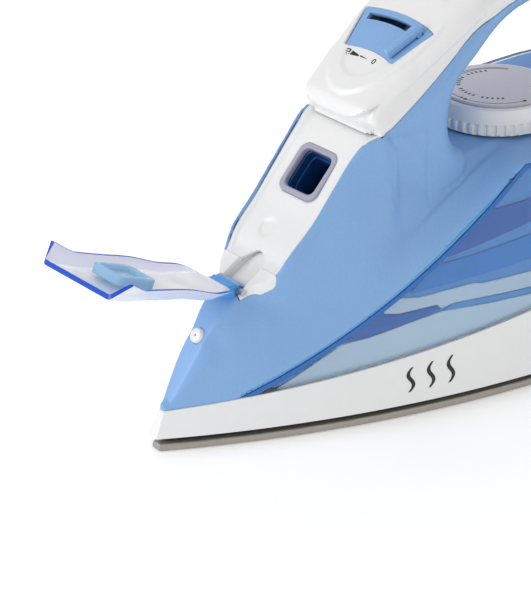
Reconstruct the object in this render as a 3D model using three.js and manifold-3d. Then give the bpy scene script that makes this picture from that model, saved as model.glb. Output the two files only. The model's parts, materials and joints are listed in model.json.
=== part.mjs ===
// Steam iron: an assembly of separate pieces, in millimetres, +Z up.
// The nose points to -Y, the origin is the middle of the soleplate's bottom face.
// A place along the iron is given as its station s, the distance behind the soleplate's tip.
import * as THREE from "three";
import { mergeVertices } from "three/addons/utils/BufferGeometryUtils.js";
import Module from "manifold-3d";

const wasm = await Module();
wasm.setup();

// ---------- driving dimensions ----------
const SOLE_LENGTH = 236;
const NOSE_Y = -SOLE_LENGTH / 2;
const WIDEST_S = 195; // station of the widest point
const SIDE_R = 395; // radius of the soleplate's side arcs
const SIDE_CENTRE = 341.5; // how far beyond the middle line the arcs' centres lie
const HALF_WIDTH = SIDE_R - SIDE_CENTRE;
const SOLE_T = 3;
const GAP = 0.35; // clearance between pieces that meet
const SKIRT_BOTTOM = 5.8;
const SKIRT_OUT = 1.7; // the skirt's foot stands outside the soleplate by this much
const BODY_IN = -2.3; // the body starts inside the soleplate's outline by this much
const WALL = 2.2;
const DECK_Z = 88;
const HEEL_LEAN = 0.25;
const HINGE_S = 34; // fill lid hinge
const HINGE_Z = 55.4;
const LID_OPEN = 112; // degrees between the closed and the open lid
const FACE_SLOPE = 33; // slope of the slider face, degrees
const FACE_S = 97.5; // a point of the slider face on the middle line
const FACE_Z = 127.2;
const SLIDER_REACH = 41; // the slider swings about an axis this far down the slope from that point
const SLIDER_REST = 12; // degrees from the middle line to the tab in the 0 position
const DIAL_S = 163;
const DIAL_R = 24;
const NOZZLE_S = 19.5;
const NOZZLE_Z = 39.8;
const PANEL_SLOPE = 46.5;
const FILL_S = 70.2; // middle of the fill opening
const FILL_Z = 90.4;
const FILL_HALF_W = 7.8;
const FILL_HALF_L = 7.9;
const VALVE_S = 106;

// ---------- small helpers ----------
const rad = THREE.MathUtils.degToRad;
const lerp = THREE.MathUtils.lerp;
const smooth = THREE.MathUtils.smoothstep;
const yOf = (s) => s + NOSE_Y;
const at = (x, s, z) => new THREE.Vector3(x, yOf(s), z);

// Reads a curve given by a few [s, value] points, with smooth passage through them.
function curve(points) {
  const spline = new THREE.SplineCurve(points.map((p) => new THREE.Vector2(...p)));
  const table = spline.getPoints(12 * (points.length - 1));
  return (s) => {
    if (s <= table[0].x) return table[0].y;
    for (let i = 1; i < table.length; i++) {
      if (s > table[i].x) continue;
      const part = (s - table[i - 1].x) / (table[i].x - table[i - 1].x);
      return lerp(table[i - 1].y, table[i].y, part);
    }
    return table[table.length - 1].y;
  };
}

// A three.js geometry as a manifold-3d solid.
function solid(geometry) {
  const bare = geometry.clone();
  bare.deleteAttribute("normal");
  bare.deleteAttribute("uv");
  const merged = mergeVertices(bare, 1e-4);
  const made = new wasm.Manifold(
    new wasm.Mesh({
      numProp: 3,
      vertProperties: merged.getAttribute("position").array,
      triVerts: new Uint32Array(merged.index.array),
    }),
  );
  return made;
}

// A manifold-3d solid as a three.js geometry with flat faces.
function geometryOf(made) {
  const data = made.getMesh();
  const geometry = new THREE.BufferGeometry();
  geometry.setAttribute("position", new THREE.BufferAttribute(new Float32Array(data.vertProperties), 3));
  geometry.setIndex(new THREE.BufferAttribute(new Uint32Array(data.triVerts), 1));
  const flat = geometry.toNonIndexed();
  flat.computeVertexNormals();
  return flat;
}

// The largest body of a solid, without the slivers that cuts leave beside it.
const largest = (made) => made.decompose().sort((a, b) => b.volume() - a.volume())[0];

// A closed solid through rings of equal point count. Each ring runs up its right side and down its
// left side, so its caps join the two sides straight across.
function loft(rings) {
  const count = rings[0].length;
  const last = (rings.length - 1) * count;
  const index = [];
  for (let r = 0; r + 1 < rings.length; r++) {
    for (let i = 0; i < count; i++) {
      const a = r * count + i;
      const b = r * count + ((i + 1) % count);
      index.push(a, b, b + count, a, b + count, a + count);
    }
  }
  for (let i = 0; i + 1 < count / 2; i++) {
    const far = count - 1 - i;
    index.push(i + 1, i, far, i + 1, far, far - 1);
    index.push(last + i, last + i + 1, last + far, last + i + 1, last + far - 1, last + far);
  }
  return closed(rings.flat(), index);
}

// A solid from points and triangles, turned the right way out.
function closed(points, index) {
  const geometry = new THREE.BufferGeometry();
  const numbers = points.flatMap((p) => [p.x, p.y, p.z]);
  geometry.setAttribute("position", new THREE.Float32BufferAttribute(numbers, 3));
  geometry.setIndex(index);
  const made = solid(geometry);
  return made.volume() < 0 ? solid(flipped(geometry)) : made;
}

function flipped(geometry) {
  const turned = geometry.clone();
  const index = turned.getIndex().array;
  for (let i = 0; i < index.length; i += 3) [index[i], index[i + 1]] = [index[i + 1], index[i]];
  return turned;
}

// A side-view outline of [s, z] points pulled across the iron between -half and +half.
function slab(points, half = 90) {
  const shape = new THREE.Shape(points.map(([s, z]) => new THREE.Vector2(yOf(s), z)));
  const geometry = new THREE.ExtrudeGeometry(shape, { depth: 2 * half, bevelEnabled: false });
  geometry.translate(0, 0, -half);
  geometry.rotateX(Math.PI / 2);
  geometry.rotateZ(Math.PI / 2);
  return solid(geometry);
}

// Upright prism from a plan shape.
function prism(shape, low, high, curveSegments = 8) {
  const geometry = new THREE.ExtrudeGeometry(shape, {
    depth: high - low,
    bevelEnabled: false,
    curveSegments,
  });
  geometry.translate(0, 0, low);
  return solid(geometry);
}

function box(x0, x1, s0, s1, z0, z1) {
  const geometry = new THREE.BoxGeometry(x1 - x0, s1 - s0, z1 - z0);
  geometry.translate((x0 + x1) / 2, yOf((s0 + s1) / 2), (z0 + z1) / 2);
  return solid(geometry);
}

// An upright turned piece from an [r, z] profile that starts and ends on the axis.
function turned(profile, x, s, segments = 16) {
  const geometry = new THREE.LatheGeometry(
    profile.map(([r, z]) => new THREE.Vector2(r, z)),
    segments,
  );
  geometry.rotateX(Math.PI / 2);
  geometry.translate(x, yOf(s), 0);
  return solid(geometry);
}

const post = (r, z0, z1, x, s, segments = 16) =>
  turned([[0, z0], [r, z0], [r, z1], [0, z1]], x, s, segments);

const pipe = (r, bore, z0, z1, x, s, segments = 16) =>
  post(r, z0, z1, x, s, segments).subtract(post(bore, z0 - 1, z1 + 1, x, s, segments));

// A round bar along X.
function crossBar(r, x0, x1, s, z, segments = 14) {
  const geometry = new THREE.CylinderGeometry(r, r, x1 - x0, segments);
  geometry.rotateZ(Math.PI / 2);
  geometry.translate((x0 + x1) / 2, yOf(s), z);
  return solid(geometry);
}

// A round rod along a curve of [x, s, z] points.
function rod(points, r, steps, sides = 8) {
  const path = new THREE.CatmullRomCurve3(points.map(([x, s, z]) => at(x, s, z)));
  const section = new THREE.Shape();
  section.absarc(0, 0, r, 0, 2 * Math.PI);
  const geometry = new THREE.ExtrudeGeometry(section, {
    steps,
    curveSegments: sides,
    extrudePath: path,
    bevelEnabled: false,
  });
  return solid(geometry);
}

// Places a piece drawn around the origin: x across, y up a slope, z out of it.
function onSlope(made, slope, s, z) {
  const frame = new THREE.Matrix4().makeRotationX(rad(slope));
  frame.setPosition(0, yOf(s), z);
  return made.transform(frame.elements);
}

function roundedRect(halfW, halfL, r) {
  const shape = new THREE.Shape();
  shape.moveTo(halfW, r - halfL);
  shape.lineTo(halfW, halfL - r);
  shape.absarc(halfW - r, halfL - r, r, 0, Math.PI / 2);
  shape.absarc(r - halfW, halfL - r, r, Math.PI / 2, Math.PI);
  shape.absarc(r - halfW, r - halfL, r, Math.PI, 1.5 * Math.PI);
  shape.absarc(halfW - r, r - halfL, r, 1.5 * Math.PI, 2 * Math.PI);
  return shape;
}

// ---------- outline and section curves ----------
// Half-width of the footprint at station s, moved outwards by out.
function halfWidth(s, out = 0) {
  if (s <= WIDEST_S) return Math.sqrt(SIDE_R ** 2 - (WIDEST_S - s) ** 2) - SIDE_CENTRE + out;
  const part = Math.min(1, (s - WIDEST_S) / (SOLE_LENGTH - WIDEST_S + out));
  return (HALF_WIDTH + out) * (1 - part ** 2.6) ** (1 / 2.6);
}

// Station where the blunt nose of the outline moved by out begins.
function noseStation(out) {
  const blunt = Math.max(1.2, 2 + 0.35 * out);
  return WIDEST_S - Math.sqrt(SIDE_R ** 2 - (SIDE_CENTRE + blunt - out) ** 2);
}

// The footprint's stations, closer together where the outline turns.
function footprintStations(out, sides) {
  const nose = noseStation(out);
  const stations = [];
  for (let i = 0; i <= sides; i++) stations.push(lerp(nose, WIDEST_S, i / sides));
  const rear = SOLE_LENGTH + out - WIDEST_S;
  for (let i = 1; i <= 6; i++) stations.push(WIDEST_S + rear * Math.sin((i / 6) * (Math.PI / 2 - 0.16)));
  return stations;
}

function footprint(out, sides = 9) {
  const stations = footprintStations(out, sides);
  const right = stations.map((s) => new THREE.Vector2(halfWidth(s, out), yOf(s)));
  const left = right.map((p) => new THREE.Vector2(-p.x, p.y)).reverse();
  return new THREE.Shape([...right, ...left]);
}

const skirtTop = (s) => {
  const t = Math.min(Math.max(s, 0), 168);
  return 15 + 0.07 * t + 0.00028 * t * t;
};

// The rear of the body leans backwards; lean(s) is how far per millimetre of height.
const lean = (s) => HEEL_LEAN * smooth(s, 150, SOLE_LENGTH);
const leaning = (s, z) => s + lean(s) * (z - SKIRT_BOTTOM);

// Half-width of the body's side wall.
function bodyHalfWidth(s, z) {
  const low = Math.min(z, DECK_Z) - skirtTop(s);
  const wall = halfWidth(s, BODY_IN) - 0.1 * low - 0.0009 * low * low;
  if (z <= DECK_Z) return wall;
  return lerp(wall, Math.min(wall, 20.5), smooth(z, DECK_Z, 128));
}

// Shoulder line between the wall and the deck, which is also the tank's front edge.
function shoulderZ(s) {
  const t = s - 24.9;
  return t <= 0 ? skirtTop(s) : Math.min(16.6 + 0.42 * t + 0.0015 * t * t, DECK_Z - 1.7);
}

// Crease at the foot of the handle's front leg.
const creaseZ = (s) => Math.min(65.5 + 0.39 * (s - 92), DECK_Z);
const creaseX = (s) => 21 + Math.max(0, 150 - s) * 0.095;

const ridgeZ = curve([[3, 14.9], [19.5, 39.8], [34, 55], [43.7, 61.5], [50.2, 69.2], [59.5, 78],
  [68.1, 88], [76.7, 97.9], [83.4, 103.8], [89, 105.6]]);
const ridgeX = curve([[3, 1.3], [19.5, 5], [34, 7.6], [40, 12.6], [45, 15.6], [51, 17.2], [60, 17.7],
  [76.7, 18], [83.4, 19.2], [89, 20.8]]);
const FRONT_END = 89;
const TOWER_S = 190; // the tank rises behind this station to carry the handle

// Upper end of the body's section: [half-width, height].
function sectionTop(s) {
  if (s <= FRONT_END) return [ridgeX(s), Math.max(ridgeZ(s), skirtTop(s) + 2.4)];
  const leg = lerp(99, DECK_Z, smooth(s, 110, 122));
  const rise = smooth(s, TOWER_S - 6, TOWER_S + 18);
  return [lerp(20, 17.5, smooth(s, 100, 130)), lerp(leg, 128, rise)];
}

// One ring of the body at station s, with its walls moved inwards by inset.
function bodyRing(s, inset) {
  const [topX, topZ] = sectionTop(s);
  const foot = skirtTop(s) + GAP;
  const kneeZ = Math.min(Math.max(shoulderZ(s), foot + 1), topZ - 1.7);
  const right = [];
  for (let i = 0; i <= 3; i++) {
    const z = lerp(foot, kneeZ, i / 3);
    right.push([bodyHalfWidth(s, z), z]);
  }
  // Ahead of the leg the wall runs straight on; further back it steps in to the crease.
  const creased = smooth(s, 66, 96);
  const [kneeX] = right[right.length - 1];
  const plainZ = lerp(kneeZ, topZ, 0.35);
  const plainX = Math.max(Math.min(bodyHalfWidth(s, plainZ), lerp(kneeX, topX, 0.35) + 2), topX);
  const middleZ = lerp(plainZ, Math.min(creaseZ(s), topZ - 0.8), creased);
  right.push([lerp(plainX, Math.min(creaseX(s), kneeX), creased), middleZ]);
  const upperZ = lerp(middleZ, topZ, 0.6);
  const upperX = lerp(Math.min(bodyHalfWidth(s, upperZ), lerp(plainX, topX, 0.6) + 1), topX + 0.8, creased);
  right.push([Math.max(upperX, topX), upperZ]);
  right.push([topX, topZ]);
  // Inwards is sideways on the wall, upwards at the foot and downwards on the deck.
  const flat = smooth(s, 92, 125);
  const drops = [inset, 0, 0, -inset * flat, -inset * flat, -inset * flat, -inset];
  const shifted = right.map(([x, z], i) => [Math.max(x - inset, 0.4), z + drops[i]]);
  const ring = shifted.map(([x, z]) => at(x, leaning(s, z), z));
  const mirror = shifted.map(([x, z]) => at(-x, leaning(s, z), z)).reverse();
  return [...ring, ...mirror];
}

function bodyStations(first, last) {
  const wanted = [3, 8, 14, 19.5, 27, 34, 40, 45, 51, 60, 68, 76.7, 83.4, 89, 93, 104, 118, 132, 148,
    165, 180, 188, 196, 204, 213, 222, 229, 233.2];
  const kept = wanted.filter((s) => s > first + 0.5 && s < last - 0.5);
  return [first, ...kept, last];
}

function body(inset, first, last) {
  return loft(bodyStations(first, last).map((s) => bodyRing(s, inset)));
}

// ---------- handle ----------
// Parting line between the white cover and the blue lower half, in side view.
const PARTING = [[88.6, 105], [98, 111], [108, 117.8], [119, 126], [130, 134.8], [141, 139.6], [156, 142.4],
  [185, 144], [215, 141.5], [240, 134], [272, 120]];

const HANDLE_OUTLINE = [[90.8, 100.5], [84.3, 104.6], [80.4, 110], [81.3, 115.6], [86, 119.8], [98, 127.6],
  [112, 136.6], [126, 144.6], [142, 150.8], [162, 154.6], [185, 155], [210, 151.6], [235, 144], [254, 134],
  [263.5, 125], [263, 116], [254, 110], [240, 110], [230, 116], [222, 124.5], [211, 131], [195, 136.2],
  [175, 138], [158, 136.6], [147, 133.6], [140, 129.8], [132.5, 124], [125.4, 118.2], [121.7, 112],
  [120.4, 104.5], [121, 98], [124, 92], [130, 87], [128, 78], [112, 72], [97, 74], [90, 84]];

function handleHalfWidth(s, z) {
  const leg = s < 93 ? lerp(17.5, 20.6, (s - 60) / 33) : lerp(20.6, 23.6, smooth(s, 93, 112));
  const grip = lerp(leg, 20, smooth(s, 128, 165));
  return lerp(grip, Math.max(grip, 22.6), smooth(z, 100, 110) * (1 - smooth(s, 105, 125)));
}

function handle(inset) {
  const rounding = 6;
  const nominal = 22;
  const spline = new THREE.CatmullRomCurve3(
    HANDLE_OUTLINE.map(([s, z]) => new THREE.Vector3(yOf(s), z, 0)), true, "centripetal");
  const outline = spline.getPoints(48).slice(0, 48).map((p) => new THREE.Vector2(p.x, p.y));
  const geometry = new THREE.ExtrudeGeometry(new THREE.Shape(outline), {
    depth: 2 * (nominal - rounding),
    bevelThickness: rounding - inset,
    bevelSize: rounding - inset,
    bevelOffset: -rounding,
    bevelSegments: 3,
    steps: 1,
  });
  geometry.translate(0, 0, rounding - nominal);
  geometry.rotateX(Math.PI / 2);
  geometry.rotateZ(Math.PI / 2);
  const position = geometry.getAttribute("position");
  for (let i = 0; i < position.count; i++) {
    const wide = handleHalfWidth(position.getY(i) - NOSE_Y, position.getZ(i)) / nominal;
    position.setX(i, position.getX(i) * wide);
  }
  return solid(geometry);
}

// ---------- regions of the side view ----------
const shoulderLine = (drop) =>
  [24.9, 35, 50, 65, 80, 95, 110, 125, 140, 149].map((s) => [s, shoulderZ(s) - drop]);
const partingLine = (rise, from = 0, to = 300) =>
  PARTING.filter(([s]) => s >= from && s <= to).map(([s, z]) => [s, z + rise]);

const TOWER_LINE = [[188, DECK_Z - 1.7], [206, 104], [214, 122]];
const shellRegion = slab([[-12, 5], [22, 5], ...shoulderLine(0), ...TOWER_LINE,
  [214, 141.6], ...partingLine(0, 0, 213).reverse(),
  [83.4, 104.2], [76.7, 99.5], [68, 92], [50, 76], [34, 60], [19.5, 46],
  [-12, 30]]);
const tankRegion = slab([[10, 0], ...shoulderLine(GAP), ...TOWER_LINE.map(([s, z]) => [s + 0.5, z - GAP]),
  [215, 140.9], [240, 133.2], [256.9, 126.2], [224.6 - GAP, -2]]);
const tankInside = slab([[32, 0], ...shoulderLine(WALL + GAP).slice(1), [150, DECK_Z - 4.2],
  [186, DECK_Z - 4.2], [205, 102], [216.6, 121], [218, 132], [238, 127], [252, 119], [222, 0]]);
const coverRegion = slab([[60, 104.2], ...partingLine(GAP), [290, 113], [290, 175], [60, 175]]);
const rearRegion = slab([[224.6, -2], [257.3, 126], [290, 112], [290, -2]]);

// The tank's front part lies inside the front shell.
const frontTank = (grow) => slab([[46 - grow, 20], [46 - grow, 50], [60, 66 + grow], [72, 78 + grow],
  [84, 83 + grow], [148, 83 + grow], [148, 60], [110, 40], [80, 20]]);

const outerForm = body(0, 2.9, 233.4).add(handle(0));
const legPassage = box(-14, 14, 87, 117, 64, 99.5);
const innerForm = body(WALL, 9, 230.5).add(handle(WALL)).add(legPassage);

// ---------- pieces of the sole ----------
const SCREWS = [["sole_screw_front", 0, 29], ["sole_screw_left", 20, 200], ["sole_screw_right", -20, 200]];
const SHIELD_TOP = 15.4;
const withScrewHoles = (made) =>
  SCREWS.reduce((rest, [, x, s]) => rest.subtract(post(2, 8, 30, x, s, 10)), made);
const soleScrew = (x, s) => turned([[0, 9], [1.6, 9], [1.6, SHIELD_TOP + GAP], [3, SHIELD_TOP + GAP],
  [3, SHIELD_TOP + 1.7], [0, SHIELD_TOP + 1.7]], x, s, 10);

function steamHoles() {
  const holes = [];
  for (let row = 0; row < 5; row++) {
    const s = 30 + 17 * row;
    const x = halfWidth(s) - 8;
    holes.push([x, s], [-x, s]);
  }
  holes.push([0, 22], [0, 41]);
  return holes;
}

function soleplate() {
  const shape = footprint(0, 14);
  for (const [x, s] of steamHoles()) {
    const hole = new THREE.Path();
    hole.absarc(x, yOf(s), 1.7, 0, 2 * Math.PI, true);
    shape.holes.push(hole);
  }
  return prism(shape, 0, SOLE_T, 5);
}

const CASTING_LOW = SOLE_T + GAP;
const CASTING_TOP = 12;
const ELEMENT_Z = 7.8;

function elementPath(end) {
  const side = [52, 80, 110, 140, 170, 195, 214].map((s) => [halfWidth(s) - 17.5, s, ELEMENT_Z]);
  const right = [...side, [21, 224, ELEMENT_Z], [20, end, ELEMENT_Z]];
  const left = right.map(([x, s, z]) => [-x, s, z]);
  return [...left.reverse(), [0, 36, ELEMENT_Z], ...right];
}

function heaterCasting() {
  const block = prism(footprint(-9), CASTING_LOW, CASTING_TOP);
  const chamber = prism(footprint(-27, 6), 6, 20).intersect(box(-18, 18, 40, 150, 0, 30));
  return withScrewHoles(block.subtract(chamber).subtract(rod(elementPath(240), 3.6, 36, 6)));
}

function chamberCover() {
  const plate = prism(footprint(-22, 6), CASTING_TOP + GAP, CASTING_TOP + GAP + 1.2);
  const cut = box(-21, 21, 55, 154, 0, 30);
  return plate.intersect(cut).subtract(post(2.8, 0, 30, 0, VALVE_S));
}

function heatShield() {
  const foot = prism(footprint(-2.6), SOLE_T + GAP, 8);
  const tray = prism(footprint(-6.2), 7, SHIELD_TOP);
  const hollow = prism(footprint(-8.2), 0, 14.2);
  return withScrewHoles(foot.add(tray).subtract(hollow))
    .subtract(post(2.6, 0, 30, 0, VALVE_S))
    .subtract(box(-10.5, 10.5, DIAL_S - 10, DIAL_S + 24, 10, 30));
}

function skirt() {
  const sides = 14;
  const band = (bottomOut, topOut, drop, rise) => {
    const low = footprintStations(bottomOut, sides);
    const high = footprintStations(topOut, sides);
    const right = low.map((s, i) => {
      const z = skirtTop(high[i]);
      const foot = at(halfWidth(s, bottomOut), s, SKIRT_BOTTOM - drop);
      const head = at(halfWidth(high[i], topOut), leaning(high[i], z), z + rise);
      return [foot, head];
    });
    const mirror = right.map((pair) => pair.map((p) => new THREE.Vector3(-p.x, p.y, p.z))).reverse();
    return [...right, ...mirror];
  };
  const outside = band(SKIRT_OUT, BODY_IN, 0, 0);
  const inside = band(SKIRT_OUT - 2.6, BODY_IN - 2.4, 2, 3);
  return ribbon(outside).subtract(ribbon(inside));
}

// A closed solid from [low, high] pairs that run round an outline, right side first.
const ribbon = (pairs) => loft([pairs.map((pair) => pair[0]), pairs.map((pair) => pair[1])]);

// ---------- tank, shells and covers ----------
const fillBox = (grow, low, high) =>
  onSlope(prism(roundedRect(FILL_HALF_W + grow, FILL_HALF_L + grow, 3 + grow / 2), low, high, 4),
    PANEL_SLOPE, FILL_S, FILL_Z);

const TANK_INSET = WALL + 1.4; // the tank's front part stands off the body's outer form by this much

function waterTank() {
  const rear = outerForm.intersect(tankRegion);
  const front = body(TANK_INSET, 40, 150).intersect(frontTank(0));
  const neck = fillBox(1.8, -13, -WALL - 0.6);
  const inside = innerForm.intersect(tankInside)
    .add(body(TANK_INSET + WALL, 42, 200).intersect(frontTank(-2)));
  const bore = fillBox(0, -30, 5).intersect(box(-30, 30, 40, 100, 70, 100));
  const well = post(8.2, 0, 87, 0, DIAL_S);
  return rear.add(front).add(neck)
    .subtract(inside.subtract(well))
    .subtract(bore)
    .subtract(post(6, 0, 90, 0, DIAL_S))
    .subtract(post(4, 0, 60, 0, VALVE_S))
    .subtract(post(2.6, 60, 100, 0, VALVE_S));
}

// Slice of the panel between two depths below its rim line, narrowed by inset.
function panelSlice(from, to, inset, high, low) {
  const stations = [from, 43.7, 47, 51, 60, 68, 76.7, 83.4, to].filter((s) => s >= from && s <= to);
  const up = rad(PANEL_SLOPE);
  return loft(stations.map((s) => {
    const x = ridgeX(s) - inset;
    const place = (side, depth) => at(side * x, s - depth * Math.sin(up), ridgeZ(s) + depth * Math.cos(up));
    return [place(1, low), place(1, high), place(-1, high), place(-1, low)];
  }));
}

const HINGE_BORE = 1.5;
const LID_BARREL = 2.6;
const COLLAR_X = 6.6;

function fillPanel() {
  const plate = panelSlice(40, 86.6, 1.6, 0, -WALL);
  const collar = (side) => crossBar(4, Math.min(side * COLLAR_X, side * 10.5), Math.max(side * COLLAR_X,
    side * 10.5), HINGE_S + 1, HINGE_Z).add(slabBlock(side));
  const slabBlock = (side) =>
    box(side > 0 ? COLLAR_X : -10.5, side > 0 ? 10.5 : -COLLAR_X, 35, 43, 53, 57.9);
  return plate.add(collar(1)).add(collar(-1))
    .subtract(crossBar(HINGE_BORE, -9, 9, HINGE_S, HINGE_Z))
    .subtract(fillBox(2.4, -8, 4));
}

function fillGasket() {
  return fillBox(2, -WALL - 0.3, 0.9).subtract(fillBox(0, -5, 5));
}

function frontShell() {
  const bed = panelSlice(38, 92, 0.95, 9, -WALL - 0.35);
  const hingeBay = crossBar(4.9, -11.2, 11.2, HINGE_S + 1, HINGE_Z)
    .add(box(-11.2, 11.2, 34, 44, 51.5, 66)).add(crossBar(3.4, -11, 11, HINGE_S - 1, HINGE_Z - 0.6));
  const nozzleBore = nozzlePost(3.2, -12, 12);
  return outerForm.intersect(shellRegion).subtract(innerForm).subtract(bed).subtract(hingeBay)
    .subtract(nozzleBore).subtract(post(4, 80, 95, 0, DIAL_S));
}

function nozzlePost(r, low, high) {
  const geometry = new THREE.CylinderGeometry(r, r, high - low, 16);
  geometry.rotateX(Math.PI / 2);
  geometry.translate(0, 0, (high + low) / 2);
  return onSlope(solid(geometry), 57, NOZZLE_S, NOZZLE_Z);
}

const SPRAY_S = 139;
const BURST_S = 154;
const BUTTON_R = 6.2;

// A window in the slider face: [x, t] is across and up the slope from the face's reference point.
function faceBlock(points, low, high) {
  const shape = new THREE.Shape(points.map(([x, t]) => new THREE.Vector2(x, t)));
  return onSlope(prism(shape, low, high), FACE_SLOPE, FACE_S, FACE_Z);
}

const arcPoints = (r, from, to, count) =>
  Array.from({ length: count + 1 }, (_, i) => {
    const angle = rad(lerp(from, to, i / count));
    return [r * Math.sin(angle), r * Math.cos(angle) - SLIDER_REACH];
  });

// A ring sector about the slider's swing axis, between two radii and two angles.
const sector = (inner, outer, from, to, low, high, count = 6) =>
  faceBlock([...arcPoints(outer, from, to, count), ...arcPoints(inner, to, from, count)], low, high);

const PLATE_INNER = SLIDER_REACH + 3.6;
const PLATE_OUTER = SLIDER_REACH + 22;
const PLATE_ANGLE = 16.5;
const SLOT_INNER = SLIDER_REACH + 16.5;
const SLOT_OUTER = SLIDER_REACH + 19.5;
const TAB_ANGLE = 3.4;

function handleCover() {
  const window = sector(PLATE_INNER - 0.3, PLATE_OUTER + 0.3, -PLATE_ANGLE - 1, PLATE_ANGLE + 1, -12, 30);
  const lamp = post(3.4, 130, 170, 0, 222);
  return outerForm.intersect(coverRegion).subtract(innerForm)
    .subtract(window)
    .subtract(post(BUTTON_R + 0.5, 140, 170, 0, SPRAY_S))
    .subtract(post(BUTTON_R + 0.5, 140, 170, 0, BURST_S))
    .subtract(glandBay())
    .subtract(lamp);
}

function sliderPlate() {
  const plate = sector(PLATE_INNER, PLATE_OUTER, -PLATE_ANGLE, PLATE_ANGLE, -2.4, -0.4);
  const slot = sector(SLOT_INNER, SLOT_OUTER, -SLIDER_REST - 1.9, SLIDER_REST + 1.9, -5, 5);
  return plate.subtract(slot);
}

function steamSlider() {
  const [from, to] = [SLIDER_REST - TAB_ANGLE / 2, SLIDER_REST + TAB_ANGLE / 2];
  const tab = sector(SLIDER_REACH + 4.5, SLIDER_REACH + 20, from, to, -0.05, 3.4, 2);
  const stem = sector(SLOT_INNER + 0.4, SLOT_OUTER - 0.4, from, to, -5.2, 0.4, 2);
  const foot = sector(SLOT_INNER - 3, SLOT_OUTER + 1.2, from - 1, to + 1, -6.4, -4.4, 2);
  return tab.add(stem).add(foot);
}

// ---------- fill lid, drawn closed and then swung open ----------
// Rings of the closed lid: [station of its edge, half-width, height of its top, lead of the top].
const LID_RINGS = [[39.5, 9.6, 2.6, 0], [43.7, 14.6, 4, 0], [47, 16.6, 4.8, 0], [51, 17.6, 5.4, 0.3],
  [60, 18.6, 6.5, 1.5], [68, 19.6, 6.9, 3], [75, 21.4, 6.9, 3.4], [80.8, 23.9, 6.6, 3.2]];
const LID_WALL = 1.9;
const PANEL_UP = rad(PANEL_SLOPE);

// A point above the panel's rim line: x across, n out of the panel.
const overPanel = (x, s, n) => at(x, s - n * Math.sin(PANEL_UP), ridgeZ(s) + n * Math.cos(PANEL_UP));

function swungOpen(made) {
  const back = new THREE.Matrix4().makeTranslation(0, -yOf(HINGE_S), -HINGE_Z);
  const swing = new THREE.Matrix4().makeRotationX(rad(LID_OPEN));
  const forth = new THREE.Matrix4().makeTranslation(0, yOf(HINGE_S), HINGE_Z);
  return made.transform(forth.multiply(swing).multiply(back).elements);
}

function fillLid() {
  const rings = LID_RINGS.map(([s, x, high, lead]) => {
    const flank = Math.min(5, x / 3);
    const edge = lerp(0.6, 0.2, smooth(s, 60, 80));
    const [top, under] = [s + lead, high - LID_WALL];
    return [overPanel(x, s, edge), overPanel(x - flank, top, high), overPanel(flank - x, top, high),
      overPanel(-x, s, edge), overPanel(2 - x, s, edge), overPanel(flank + 0.4 - x, top, under),
      overPanel(x - flank - 0.4, top, under), overPanel(x - 2, s, edge)];
  });
  const arm = slab([[32.2, 57.3], [35.5, 56.3], [41, 62.2], [38, 64.6]], 5.9);
  const barrel = crossBar(LID_BARREL, -6.1, 6.1, HINGE_S, HINGE_Z);
  const closedLid = loft(rings).add(arm).add(barrel)
    .subtract(crossBar(HINGE_BORE, -9, 9, HINGE_S, HINGE_Z));
  return swungOpen(closedLid);
}

// A square collar that presses on the gasket.
function lidPlug() {
  return swungOpen(fillBox(0.9, 1.25, 4.1).subtract(fillBox(-1.1, 0, 3.1)));
}

// ---------- water and steam parts ----------
const TANK_FLOOR = skirtTop(VALVE_S) + GAP;

const valveSeat = () => pipe(3.6, 1.1, TANK_FLOOR - 2.5, TANK_FLOOR + 3.6, 0, VALVE_S, 12);
const dripTube = () => pipe(2.2, 1.2, CASTING_TOP + 0.6, TANK_FLOOR - 2.9, 0, VALVE_S, 12);
const valveGrommet = () => pipe(4.2, 1.95, 83.4, 86, 0, VALVE_S, 14);

function valveRod() {
  const tip = TANK_FLOOR + 4;
  const profile = [[0, tip], [0.7, tip], [1.6, tip + 2], [1.6, 118], [3, 118], [3, 121], [0, 121]];
  return turned(profile, 0, VALVE_S, 12);
}

function nozzleHose() {
  return rod([[0, 25.6, 36.2], [-3, 31, 42], [-8.5, 41, 49], [-12.2, 52, 62.2], [-12.6, 70, 82.5],
    [-11.6, 84, 93],
    [-8, 97, 99.5], [-7.5, 112, 113], [-8, 124, 127], [-8.2, 131, 132.6]], 1.3, 22, 6);
}

const sprayNozzle = () => nozzlePost(2.9, -5.5, 0.9).add(nozzlePost(2.1, 0, 1.7));

// ---------- buttons and pumps ----------
// One pump under a button: s is its station, base the pump's foot and top the height of the button's cap.
function button(s, base, top) {
  return turned([[0, base + 7.9], [1.5, base + 7.9], [1.5, top - 5.9], [BUTTON_R, top - 5.9],
    [BUTTON_R, top - 0.9], [BUTTON_R - 1, top],
    [0, top + 0.4]], 0, s, 20);
}

const pump = (s, base) =>
  post(5.6, base, base + 6.4, 0, s).subtract(post(3.9, base + 1.4, base + 8, 0, s));

const piston = (s, base) => turned([[0, base + 5], [3.6, base + 5], [3.6, base + 6.6], [1.6, base + 6.6],
  [1.6, base + 7.6], [0, base + 7.6]], 0, s);

function returnSpring(s, low, high) {
  const turns = 3.5;
  const points = [];
  for (let i = 0; i <= 28; i++) {
    const angle = (2 * Math.PI * turns * i) / 28;
    points.push([4.6 * Math.cos(angle), s + 4.6 * Math.sin(angle), lerp(low, high, i / 28)]);
  }
  return rod(points, 0.4, 28, 4);
}

// ---------- thermostat and dial ----------
const SPINDLE_FOOT = 24.4;

function thermostatBody() {
  return box(-7, 7, DIAL_S - 8, DIAL_S + 8, CASTING_TOP + GAP, 15)
    .add(box(-5, 5, DIAL_S - 6, DIAL_S + 6, 14, 20)).add(post(4, 19, 24, 0, DIAL_S));
}

const thermostatSpindle = () => turned([[0, SPINDLE_FOOT], [3, SPINDLE_FOOT], [3, 27], [2.2, 27], [2.2, 92],
  [0, 92]], 0, DIAL_S, 12);

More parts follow.
